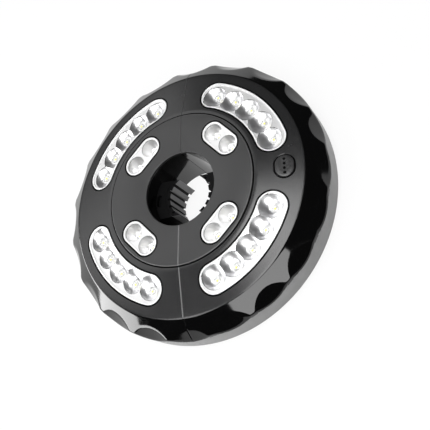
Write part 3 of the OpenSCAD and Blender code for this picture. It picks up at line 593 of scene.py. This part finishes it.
shellSet = {
    "steps": 400,
    "grooveEdge": (0.1, 0.14, 0.4),                            # its middle point out and down, and its size
    "faceRadii": (58, 62, 66, 70, 74, 78, 82, 85),
    "ringEdge": ((86.6, 0), (86.95, 0.015), (87.3, 0.05)),     # radius, and how far below the ring's cone
    "bevelEdge": ((87.65, 0.08), (88.0, 0.025)),               # the same below the bevel's cone
    "bevelRadii": (88.4, 89, 90, 91, 92, 92.8, 93.6, 94.4, 95.2, 96, 96.8, 97.6, 98.2, 98.7),
    "crestEdge": ((99.1, 0.03), (99.4, 0.12)),
    "crestR": 99.7,                                            # the crest's drops are from the bevel here
    "crest": ((99.56, 0.33), (99.64, 0.75), (99.65, 1.3)),
    "bandHeights": (17.2, 15.5, 13.5, 11, 8.5, 6, 3.5, 1.6),
    "bandLean": 0.0851,                                        # lost radius for each millimetre down
    "footTop": 0.9, "footEase": ((0.15, 0.55), (0.5, 0.4)),    # inward step and height
    "insideLip": 1.0,
    "insideBand": ((96.9, 14.0), (91.4, 23.4)),
    "bandInR": 98.2,                                           # points outside this are on the band
    "bandSkin": 0.16, "ringSkin": 0.1,                         # how near a face is to a surface to be on it
    "sunk": (0.3, 3), "seamClear": 0.6,                        # depth of recess faces that take painted shade, clear of the seam
    "bevelReach": 1.5,                                         # points this near the bevel follow the scoops
    "easeReach": 0.5,                                          # points this near the front are eased
}
scoopSet = {
    "count": 20,
    "innerR": 93.4,           # where a scoop starts on the bevel
    "dip": 4.5,               # how far it falls below the rim's crests
    "width": 15.2,            # half width where it meets the crest line
    "crestLineR": 98.8,
    "squareness": 2.3,        # two is a parabola, more is a squarer arch
    "soften": 0.22,           # rounding of its edge
}
scoopFall = ((bevelZ(scoopSet["innerR"]) - (body["rimZ"] - scoopSet["dip"]))
             / (body["rimR"] - scoopSet["innerR"]))


# how far a scoop lowers the bevel at this place

def scoopDrop(x, y):
    scoop = scoopSet
    r = math.hypot(x, y)
    step = 2 * math.pi / scoop["count"]
    turn = (math.atan2(y, x) - math.pi / 2 + step / 2) % step - step / 2
    across = abs(r * math.sin(turn)) / scoop["width"]
    rise = across ** scoop["squareness"] * (scoopFall - rimFall) * (scoop["crestLineR"] - scoop["innerR"])
    cutZ = bevelZ(scoop["innerR"]) - (r * math.cos(turn) - scoop["innerR"]) * scoopFall + rise
    return bevelZ(r) - softMin(bevelZ(r), cutZ, scoop["soften"])


def bandR(z):
    return body["rimR"] - shellSet["bandLean"] * (body["rimZ"] - z)


def outerProfile():
    b, s = body, shellSet
    out, down, size = s["grooveEdge"]
    points = [(b["ledgeR"], b["ledgeZ"]), (b["ringInR"], b["ledgeZ"]), (b["ringInR"], b["ringInZ"] - size),
              (b["ringInR"] + out, b["ringInZ"] - down), (b["ringInR"] + size, faceZ(b["ringInR"] + size))]
    points += [(r, faceZ(r)) for r in s["faceRadii"]]
    points += [(r, faceZ(r) - drop) for r, drop in s["ringEdge"]]
    points += [(r, bevelZ(r) - drop) for r, drop in s["bevelEdge"]]
    points += [(r, bevelZ(r)) for r in s["bevelRadii"]]
    points += [(r, bevelZ(r) - drop) for r, drop in s["crestEdge"]]
    points += [(r, bevelZ(s["crestR"]) - drop) for r, drop in s["crest"]]
    points += [(bandR(z), z) for z in s["bandHeights"]]
    points += [(b["footR"], s["footTop"])] + [(b["footR"] - step, z) for step, z in s["footEase"]]
    return points + [(b["coverR"], b["footZ"]), (b["coverR"], b["coverZ"])]


def innerProfile():
    b, s = body, shellSet
    outR, inR, lowZ = b["ringOutR"] - s["insideLip"], b["ringInR"] + b["wall"], b["ledgeZ"] - b["wall"]
    return [(b["coverR"] - s["insideLip"], b["coverZ"]), *s["insideBand"], (outR, faceZ(outR) - b["wall"]),
            (inR, faceZ(inR) - b["wall"]), (inR, lowZ), (b["ledgeR"], lowZ)]


def trimAtSeam(shape):
    cutAcross(shape, (body["seamX"] + body["seamEase"], 0, 0), (-1, 0, 0), clear=False)
    cutAcross(shape, (body["seamX"], 0, 0), (-1, 0, 0))


def shapeShellSkin():
    s = shellSet
    shape = bmesh.new()
    spinProfile(shape, outerProfile() + innerProfile(), s["steps"], angle=body["sweep"])
    footTop = s["footTop"]
    crestOut, crestDrop = s["crest"][-1]
    bandTop = bevelZ(s["crestR"]) - crestDrop
    for vert in shape.verts:
        x, y, z = vert.co
        r = math.hypot(x, y)
        if r > s["bandInR"] and footTop + touching < z <= bandTop + touching:
            z = footTop + (z - footTop) * (1 - scoopDrop(x, y) / (bandTop - footTop))
            scale = min(bandR(z), crestOut) / r
            vert.co = (x * scale, y * scale, z)
        elif r > body["ringOutR"] - s["ringSkin"] and z > bevelZ(r) - s["bevelReach"]:
            vert.co.z -= scoopDrop(x, y)
    trimAtSeam(shape)
    for vert in shape.verts:
        x, y, z = vert.co
        r = math.hypot(x, y)
        front = faceZ(r) if r < body["ringOutR"] else bevelZ(r) - scoopDrop(x, y)
        if abs(x - body["seamX"]) < touching and z > front - s["easeReach"]:
            vert.co.z -= body["seamEase"]
    closeShape(shape)
    return shape


seamWallSet = {
    "inR": 52, "outR": 98.8, "inset": 0.25,                    # follows the shell's outline from inside
    "lowZ": 15, "band": ((97.6, 14.5), (97.1, 2.7)), "footZ": 2.7,
    "back": 0.05,                                              # behind the shell's own seam face
}
latchSet = {"y": -86.4, "low": 9.57, "high": 12.57, "half": 5.3, "reach": (-3, 5)}
hingeSet = {
    "y": 96.5, "barrelR": 3.1, "barrelRound": 0.25, "lengths": 3.8, "low": 2.8, "gap": 0.3, "arm": 6.2,
    "knuckles": {"right": (0, 2), "left": (1,)},
    "open": 45,                                                # degrees that the halves swing
    "notch": 9, "notchLow": -1, "notchEase": 0.15,
}


def makeSeamWalls():
    s = seamWallSet
    walls = []
    for way in (-1, 1):
        points = [(r - s["inset"], z - s["inset"]) for r, z in outerProfile()
                  if s["inR"] < r < s["outR"] and z > s["lowZ"]]
        points += [*s["band"], (s["inR"], s["footZ"])]
        shape = bmesh.new()
        verts = [shape.verts.new((body["seamX"] + s["back"], way * r, z)) for r, z in points]
        for vert in verts:
            x, y, z = vert.co
            if abs(y) > body["ringOutR"] and z > s["lowZ"]:
                vert.co.z -= scoopDrop(x, y)
        shape.faces.new(verts)
        walls.append(meshObject("seamWall", raiseFaces(shape, (body["wall"] - s["back"], 0, 0))))
    inside, outside = latchSet["reach"]
    slot = box(bmesh.new(), (inside, latchSet["y"] - latchSet["half"], latchSet["low"]),
               (outside, latchSet["y"] + latchSet["half"], latchSet["high"]))
    carve(walls[0], [meshObject("latchSlot", slot)])
    return walls


def knuckleLow(index):
    return hingeSet["low"] + index * (hingeSet["lengths"] + hingeSet["gap"])


def hingeBarrel(index):
    h = hingeSet
    low = knuckleLow(index)
    shape = cylinder(bmesh.new(), h["barrelR"], low, low + h["lengths"], at=(0, h["y"]), segments=40)
    squareEdges = [e for e in shape.edges if e.calc_face_angle(0) > math.radians(60)]
    roundEdges(shape, squareEdges, h["barrelRound"])
    box(shape, (0, h["y"] - h["arm"], low), (h["arm"], h["y"], low + h["lengths"]))
    return meshObject("hingeBarrel", shape)


def hingeRoom(index):
    h = hingeSet
    low, high = knuckleLow(index) - h["gap"], knuckleLow(index) + h["lengths"] + h["gap"]
    room = cylinder(bmesh.new(), h["barrelR"] + h["gap"], low, high, at=(0, h["y"]), segments=40)
    return meshObject("hingeRoom", room)


# room for the other half's corner as the lamp opens

def hingeNotch():
    h = hingeSet
    notch = box(bmesh.new(), (0, -h["notchEase"], h["notchLow"]), (h["notch"], h["notch"], farOver))
    notch.transform(Matrix.Translation((0, h["y"], 0)) @ zTurn(h["open"]))
    return meshObject("hingeNotch", notch)


buttonSet = {
    "x": 74.6, "turn": 1.7, "half": 6.3, "straight": 1.3, "depth": 2.6, "crown": 0.5, "capRound": 0.45,
    "fit": 0.3, "through": 6, "ringWidth": 0.8, "ringDepth": 1.0,
    "edge": 0.45, "edgeFit": 0.02,                             # chamfer round the sunk ring
    "dimples": 4, "dimpleR": 1.0, "dimplePitch": 3.2, "dimpleDepth": 0.6,
    # black discs in the dimples, painted shade: their depths below the crown, and their fit
    "dimpleShadeDepths": (0.7, 0.12), "dimpleShadeFit": 0.01,
}


def onButton():
    return (zTurn(buttonSet["turn"]) @ Matrix.Translation((buttonSet["x"], 0, faceZ(buttonSet["x"])))
            @ Matrix.Rotation(ringTilt, 4, "Y"))


def buttonCutter(grow, low, high, flare=0.0):
    half = buttonSet["half"] + grow
    cutter = prism(roundEnded(half, 0, straight=buttonSet["straight"], segments=64), low, high)
    for vert in cutter.verts:
        if vert.co.z > (low + high) / 2:
            vert.co.xy *= 1 + flare / half
    cutter.transform(onButton())
    return meshObject("buttonCutter", cutter)


def makeShell(side):
    b, s = body, shellSet
    shell = meshObject(side + "GripShell", shapeShellSkin())
    carve(shell, atWindows(lambda: arcOutline(0, underFace, farOver)))
    carve(shell, atWindows(lambda: windowPool(windowSet["rim"], windowSet["rimDepth"])))
    if side == "right":
        ring, edge, fit = buttonSet["ringWidth"], buttonSet["edge"], buttonSet["edgeFit"]
        carve(shell, [buttonCutter(buttonSet["fit"], -buttonSet["through"], buttonSet["through"])])
        carve(shell, [buttonCutter(ring, -buttonSet["ringDepth"], buttonSet["through"])])
        carve(shell, [buttonCutter(ring - fit, -edge, fit, flare=edge)])
    own = hingeSet["knuckles"][side]
    others = hingeSet["knuckles"]["left" if side == "right" else "right"]
    walls = makeSeamWalls()
    for part in (shell, walls[1]):
        carve(part, [hingeRoom(i) for i in others])
        if side == "left":
            carve(part, [hingeNotch()])
    joinMeshes(shell, walls + [hingeBarrel(i) for i in own])
    for face in shell.data.polygons:
        r, z = face.center.to_2d().length, face.center.z
        # recess faces take the recess finish, black as painted shade
        sunk = s["sunk"][0] < faceZ(r) - z < s["sunk"][1] and r > b["ledgeR"]
        if r > bandR(z) - s["bandSkin"]:
            face.material_index = 2
        elif r > b["ringOutR"] - s["ringSkin"]:
            face.material_index = 1
        else:
            face.material_index = 3 if sunk and abs(face.center.x) > s["seamClear"] else 0
    finishPiece(shell, side + "_half", "shell", [side + "_front_shell"], mirrored=side == "left",
                materials=[finishes["shell"], finishes["rim"], finishes["band"], finishes["recess"]])


# hub plates inside the groove

hubSet = {
    "edge": 0.5, "thick": 2.0, "midR": 40, "steps": 200,
    "edgeShares": ((0, 1), (0.15, 0.5), (0.5, 0.15), (1, 0)),   # the rounded edge, in and down
    "slotDepth": 20,
    "postRadius": 32.6, "postR": 3.0, "postLap": 1, "postTurns": (76, -76),
    "sunk": (0.2, 1.9), "sunkR": (28, 52.5),                    # depths and radii of the recess faces that take painted shade
    "easeReach": 0.6,                                           # points this near the front are eased
}


def makeHubPlate(side):
    b, s = body, hubSet
    high, low, edge = b["height"], b["height"] - s["thick"], s["edge"]
    rim = [(b["hubR"] - edge * across, high - edge * down) for across, down in s["edgeShares"]]
    mouth = [(b["boreR"] + edge * across, high - edge * down) for across, down in reversed(s["edgeShares"])]
    points = [(b["boreR"], low), (b["hubR"], low), *rim, (s["midR"], high), *mouth]
    shape = bmesh.new()
    spinProfile(shape, points, s["steps"], angle=b["sweep"])
    trimAtSeam(shape)
    for vert in shape.verts:
        if abs(vert.co.x - b["seamX"]) < touching and vert.co.z > high - s["easeReach"]:
            vert.co.z -= b["seamEase"]
    closeShape(shape)
    plate = meshObject(side + "HubPlate", shape)
    for grow, depth in ((0, s["slotDepth"]), (windowSet["rim"], windowSet["rimDepth"])):
        carve(plate, atWindows(lambda: slotOutline(grow, high - depth, farOver)))
    posts = bmesh.new()
    for turn in s["postTurns"]:
        at = zTurn(turn) @ Vector((s["postRadius"], 0, 0))
        cylinder(posts, s["postR"], b["coverZ"], low + s["postLap"], at=at, segments=32)
    joinMeshes(plate, [meshObject("hubPosts", posts)])
    for face in plate.data.polygons:
        r, below = face.center.to_2d().length, high - face.center.z
        # recess faces take the recess finish, black as painted shade
        sunk = s["sunk"][0] < below < s["sunk"][1] and s["sunkR"][0] < r < s["sunkR"][1]
        face.material_index = 1 if sunk else 0
    finishPiece(plate, side + "_half", "hub", [side + "_hub_plate"], mirrored=side == "left",
                materials=[finishes["hub"], finishes["recess"]])


# reflectors: mirrored cups in a pale land, with a fine bezel round the window

reflectorSet = {
    "gap": 0.25, "bezel": 0.9, "boardZ": 27.215, "lampZ": 28.215,
    "cupR": 8.4, "cupBend": 1.8, "hubCupR": 6.4, "hubCupBend": 2.3,     # a bend of one is a straight cone
    "wellR": 2.6, "wellDepth": 3, "cupRings": 12, "cupSteps": 72,
    "cupOver": 1.12, "cupClear": 12,                                    # the cutter runs past the mouth
    "landSkin": 0.06, "landBand": 0.2,                                  # how near a face is to be on the land
    "corners": {"upper_right": 45, "lower_right": -45, "upper_left": 135, "lower_left": -135},
}


def cupCutter(mouth, depth, bend, place):
    c = reflectorSet
    well, over, rings = c["wellR"], mouth * c["cupOver"], c["cupRings"]
    points = [(0, -c["wellDepth"]), (well, -c["wellDepth"])]
    for i in range(rings + 1):
        share = (over - well) * i / rings / (mouth - well)
        points.append((well + share * (mouth - well), depth * share ** bend))
    points += [(over, depth + c["cupClear"]), (0, depth + c["cupClear"])]
    shape = bmesh.new()
    spinProfile(shape, points, c["cupSteps"], closed=False)
    bmesh.ops.remove_doubles(shape, verts=shape.verts, dist=touching)
    bmesh.ops.recalc_face_normals(shape, faces=shape.faces)
    shape.transform(place)
    return meshObject("cupCutter", shape)


# where the cups of one window stand, before the window's own turn

def cupPlaces(z):
    w = windowSet
    out = Matrix.Translation((w["radius"], 0, z))
    return [zTurn(w["cupStep"] * (i - (w["cups"] - 1) / 2)) @ out for i in range(w["cups"])]


def hubCupPlaces(z):
    w = windowSet
    return [Matrix.Translation((w["hubRadius"], way * w["hubPitch"] / 2, z)) for way in (-1, 1)]


def shapeArcReflector():
    c = reflectorSet
    block = coneBlock(lambda r: underFace, faceZ)
    made = carve(arcOutline(-c["gap"], c["boardZ"], overFace), [block], "INTERSECT")
    carve(made, [windowPool(-c["gap"] - c["bezel"], body["landDrop"])])
    depth = faceZ(windowSet["radius"]) - body["landDrop"] - c["lampZ"]
    places = cupPlaces(c["lampZ"])
    return carve(made, [cupCutter(c["cupR"], depth, c["cupBend"], place) for place in places])


def shapeHubReflector():
    c = reflectorSet
    land = body["height"] - body["landDrop"]
    made = slotOutline(-c["gap"], c["boardZ"], body["height"])
    carve(made, [slotOutline(-c["gap"] - c["bezel"], land, farOver)])
    depth, places = land - c["lampZ"], hubCupPlaces(c["lampZ"])
    return carve(made, [cupCutter(c["hubCupR"], depth, c["hubCupBend"], place) for place in places])


def placeReflectors():
    landDepth = body["landDrop"] + reflectorSet["landSkin"]
    for made, ending, frontAt, mirror in (
            (shapeArcReflector(), "_reflector", faceZ, "mirror"),
            (shapeHubReflector(), "_hub_reflector", lambda r: body["height"], "hubMirror")):
        for corner, turn in reflectorSet["corners"].items():
            shape = bmesh.new()
            shape.from_mesh(made.data)
            for face in shape.faces:
                centre = face.calc_center_median()
                below = frontAt(centre.to_2d().length) - centre.z
                onLand = landDepth - reflectorSet["landBand"] < below <= landDepth
                face.material_index = 0 if onLand else (1 if below > landDepth else 2)
            shape.transform(zTurn(turn))
            placed = meshObject(corner + ending + "Detailed", shape)
            finishPiece(placed, corner.split("_")[1] + "_half", "mirror", [corner + ending],
                        materials=[finishes["land"], finishes[mirror], finishes["bezel"]])
        bpy.data.objects.remove(made)


# lamp packages: pale base, phosphor spot and clear dome

lampPackageSet = {
    "base": (1.4, 1.75, 1.0), "baseRound": 0.15,               # half width, half length and height
    "spotR": 0.68, "spotTop": 1.15, "spotSink": 0.05, "spotRound": 0.06,
    "domeR": 2.2, "domeHeight": 1.6, "domeGap": 0.02,
}


def lampPlaces(side):
    half = 0 if side == "right" else 180
    window = cupPlaces(reflectorSet["boardZ"]) + hubCupPlaces(reflectorSet["boardZ"])
    return [zTurn(half + turn) @ place for turn in windowSet["turns"] for place in window]


def makeLampPackages(side):
    s = lampPackageSet
    places = lampPlaces(side)
    x, y, z = s["base"]
    base = box(bmesh.new(), (-x, -y, 0), (x, y, z))
    roundEdges(base, topEdges(base), s["baseRound"])
    finishPiece(meshObject(side + "LampBases", repeatAt(places, base)), side + "_half", "lamp",
                [side + "_leds"], materials=[finishes["lampBase"]])
    spot = cylinder(bmesh.new(), s["spotR"], z - s["spotSink"], s["spotTop"], segments=20)
    roundEdges(spot, topEdges(spot), s["spotRound"])
    finishPiece(meshObject(side + "LampSpots", repeatAt(places, spot)), side + "_half", "lamp")
    dome = bmesh.new()
    bmesh.ops.create_uvsphere(dome, u_segments=28, v_segments=16, radius=s["domeR"])
    cutAcross(dome, (0, 0, 0), (0, 0, -1))
    closeShape(dome)
    bmesh.ops.scale(dome, vec=(1, 1, s["domeHeight"] / s["domeR"]), verts=dome.verts)
    bmesh.ops.translate(dome, vec=(0, 0, z + s["domeGap"]), verts=dome.verts)
    finishPiece(meshObject(side + "LampDomes", repeatAt(places, dome)), side + "_half", "lamp",
                materials=[finishes["dome"]])


# mode button: crowned oval cap with four dimples, each holding a black disc near its top as painted shade

def makeButton():
    b = buttonSet
    cap = prism(roundEnded(b["half"], 0, straight=b["straight"], segments=72), -b["depth"], b["crown"])
    roundEdges(cap, topEdges(cap), b["capRound"], segments=4)
    made = meshObject("modeButtonCap", cap)
    dimples, dimpleShades = bmesh.new(), bmesh.new()
    shadeLow, shadeHigh = (b["crown"] - depth for depth in b["dimpleShadeDepths"])
    for i in range(b["dimples"]):
        at = (0, (i - (b["dimples"] - 1) / 2) * b["dimplePitch"])
        cylinder(dimples, b["dimpleR"], b["crown"] - b["dimpleDepth"], b["through"], at=at, segments=28)
        cylinder(dimpleShades, b["dimpleR"] - b["dimpleShadeFit"], shadeLow, shadeHigh, at=at, segments=28)
    carve(made, [meshObject("dimpleCutter", dimples)])
    made.data.transform(onButton())
    finishPiece(made, "mode_button", "button", ["mode_button"])
    dimpleShades.transform(onButton())
    finishPiece(meshObject("modeButtonDimpleShade", dimpleShades), "mode_button", "button",
                materials=[finishes["recess"]])


# ribbed jaw pads

padSet = {
    "innerR": 15.0, "outerR": 18.5, "half": 12.9, "low": 2.8, "high": 24.0, "sweep": 140, "steps": 72,
    "ribs": 6, "spread": 59.32,                    # the ribs share twice this many degrees
    "grooveWidth": 1.9, "grooveDepth": 1.9, "grooveOver": 3, "grooveTop": 30,
    "soften": 0.35, "softenAngle": 35,
    "darkFrom": 0.9, "darkInset": 0.3,             # faces this deep and this far in are in a groove, and take the black jaw colour as painted shade
    "endFacing": 0.8,                              # faces that look up or down at least this squarely
}


def makeJawPad(side):
    p = padSet
    shape = bmesh.new()
    spinProfile(shape, [(p["innerR"], p["low"]), (p["outerR"], p["low"]), (p["outerR"], p["high"]),
                        (p["innerR"], p["high"])], p["steps"], angle=p["sweep"])
    for way in (-1, 1):
        cutAcross(shape, (0, way * p["half"], 0), (0, way, 0))
    closeShape(shape)
    made = meshObject(side + "JawPad", shape)
    groove = box(bmesh.new(), (p["innerR"] - p["grooveOver"], -p["grooveWidth"] / 2, 0),
                 (p["innerR"] + p["grooveDepth"], p["grooveWidth"] / 2, p["grooveTop"]))
    places = [zTurn(p["spread"] * (2 * i / p["ribs"] - 1)) for i in range(1, p["ribs"])]
    carve(made, [meshObject("grooveCutter", repeatAt(places, groove))])
    bevel = made.modifiers.new("softEdges", "BEVEL")
    bevel.width = p["soften"]
    bevel.segments = 3
    bevel.limit_method = "ANGLE"
    bevel.angle_limit = math.radians(p["softenAngle"])
    carve(made, [])           # applies the bevel
    # painted shade: groove faces between the ribs take the black jaw moulding; faces looking up or down take
    # it too
    for face in made.data.polygons:
        deep = face.center.to_2d().length > p["innerR"] + p["darkFrom"]
        inGrooveShade = deep and abs(face.center.y) < p["half"] - p["darkInset"]
        face.material_index = 1 if inGrooveShade or abs(face.normal.z) > p["endFacing"] else 0
    finishPiece(made, side + "_jaw", "pad", [side + "_jaw_pad"], mirrored=side == "left",
                materials=[finishes["pad"], finishes["jaw"]])


# jaw springs, built fixed to the half; the real ones close up as the jaws slide back

springSet = {"coilR": 2.3, "wireR": 0.4, "curls": 7, "perCurl": 16, "sides": 8, "travel": 8.0}


def makeJawSprings(side):
    s = springSet
    node = side + "_jaw_springs"
    low, high = (Vector(corner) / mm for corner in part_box(node))
    inner, outer = sorted((abs(low.x), abs(high.x)))
    length = outer - inner
    steps = s["curls"] * s["perCurl"]
    centreY, centreZ = high.y - s["coilR"] - s["wireR"], (low.z + high.z) / 2
    single = bmesh.new()
    bmesh.ops.create_circle(single, cap_ends=False, radius=s["wireR"], segments=s["sides"],
                            matrix=Matrix.Translation((inner + s["wireR"], s["coilR"], 0)))
    rise = (length - 2 * s["wireR"]) / steps
    bmesh.ops.spin(single, geom=single.verts[:] + single.edges[:], cent=(0, 0, 0), axis=(1, 0, 0),
                   angle=2 * math.pi * s["curls"], dvec=(rise, 0, 0), steps=steps)
    closeShape(single)
    places = [Matrix.Translation((0, way * centreY, centreZ)) for way in (-1, 1)]
    made = meshObject(side + "JawSpringPair", repeatAt(places, single))
    finishPiece(made, side + "_half", slotOf[node], [node], sharpAngle=50, mirrored=side == "left")
    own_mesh(made)


for side in ("right", "left"):
    makeJawSprings(side)
    makeShell(side)
    makeHubPlate(side)
    makeLampPackages(side)
    makeJawPad(side)
    print(side, "half made")
placeReflectors()
makeButton()
print("reflectors and button made")


# camera, floor and lamps

cameraSet = {
    "lens": 83.15, "sensor": 36,             # focal length and sensor width in millimetres
    "near": 0.01, "far": 20,
    "place": (0.31209, -0.265024, 0.555601),
    "right": (0.87731, 0.00485, -0.47991),
    "up": (0.17686, 0.92630, 0.33268),
    "back": (0.44616, -0.37673, 0.81179),
}


def makeCamera():
    c = cameraSet
    data = bpy.data.cameras.new("photoCamera")
    data.lens = c["lens"]
    data.sensor_width = c["sensor"]
    data.clip_start = c["near"]
    data.clip_end = c["far"]
    camera = addObject("photoCamera", data)
    turn = Matrix((c["right"], c["up"], c["back"])).transposed().to_4x4()
    camera.matrix_world = Matrix.Translation(c["place"]) @ turn
    bpy.context.scene.camera = camera


floorSet = {"half": 3.0, "top": -0.0002, "colour": (0.86, 0.86, 0.86), "roughness": 0.9, "whiteShare": 0.88}


# a plain floor that takes shadows, but shows nearly white to the camera and in reflections

def makeFloor():
    shape = bmesh.new()
    bmesh.ops.create_grid(shape, x_segments=1, y_segments=1, size=floorSet["half"])
    bmesh.ops.translate(shape, vec=(0, 0, floorSet["top"]), verts=shape.verts)
    floor = meshObject("studioFloor", shape)
    material, tree, shader = newMaterial("paleFloor")
    setInputs(tree, shader, {"Base Color": (*floorSet["colour"], 1), "Roughness": floorSet["roughness"]})
    white = addNode(tree, "ShaderNodeEmission", {"Color": (1, 1, 1, 1), "Strength": 1.0})
    rays = addNode(tree, "ShaderNodeLightPath", {}).outputs
    mirrored = mathNode(tree, "MAXIMUM", rays["Is Glossy Ray"], rays["Is Transmission Ray"])
    seen = mathNode(tree, "MAXIMUM", rays["Is Camera Ray"], mirrored)
    share = mathNode(tree, "MULTIPLY", seen, floorSet["whiteShare"])
    mix = addNode(tree, "ShaderNodeMixShader",
                  {"Fac": share, 1: shader.outputs["BSDF"], 2: white.outputs["Emission"]})
    feed(tree, tree.nodes["Material Output"].inputs["Surface"], mix.outputs["Shader"])
    floor.data.materials.append(material)


lampSet = [
    # name, place, direction of its long side, length, width, watts
    ("overheadSoftbox", (0.12, -0.13, 1.07), (0.33, -0.94, -0.14), 1.08, 0.44, 8.8),
    ("lowSoftbox", (0.39, -0.74, 0.71), (0.9, 0.44, 0), 0.86, 0.34, 5.6),
    ("leftPanel", (-0.82, 0.51, 0.87), (-0.53, -0.85, 0), 1.2, 0.8, 4.1),
    ("leftStrip", (-1.2, -0.3, 0.17), (0.24, -0.97, 0), 1.3, 0.32, 12),
    ("frontPanel", (-0.5, -0.59, 0.92), (-0.76, 0.65, 0), 0.5, 0.5, 3.4),
]
worldSet = {"colour": (1, 1, 1), "strength": 0.05}


# each lamp faces the object at the origin

def makeLamps():
    for name, place, along, length, width, watts in lampSet:
        data = bpy.data.lights.new(name, "AREA")
        data.shape = "RECTANGLE"
        data.size = length
        data.size_y = width
        data.energy = watts
        lamp = addObject(name, data)
        lamp.location = place
        lamp.rotation_mode = "QUATERNION"
        back = Vector(place).normalized()
        side = (Vector(along) - back * back.dot(Vector(along))).normalized()
        lamp.rotation_quaternion = Matrix((side, back.cross(side), back)).transposed().to_quaternion()
    world = bpy.data.worlds.new("studioSky")
    bpy.context.scene.world = world
    world.use_nodes = True
    sky = world.node_tree.nodes["Background"]
    setInputs(world.node_tree, sky, {"Color": (*worldSet["colour"], 1), "Strength": worldSet["strength"]})


makeCamera()
makeFloor()
makeLamps()
bpy.context.scene.view_settings.view_transform = "Standard"
print("camera, floor and lamps set")
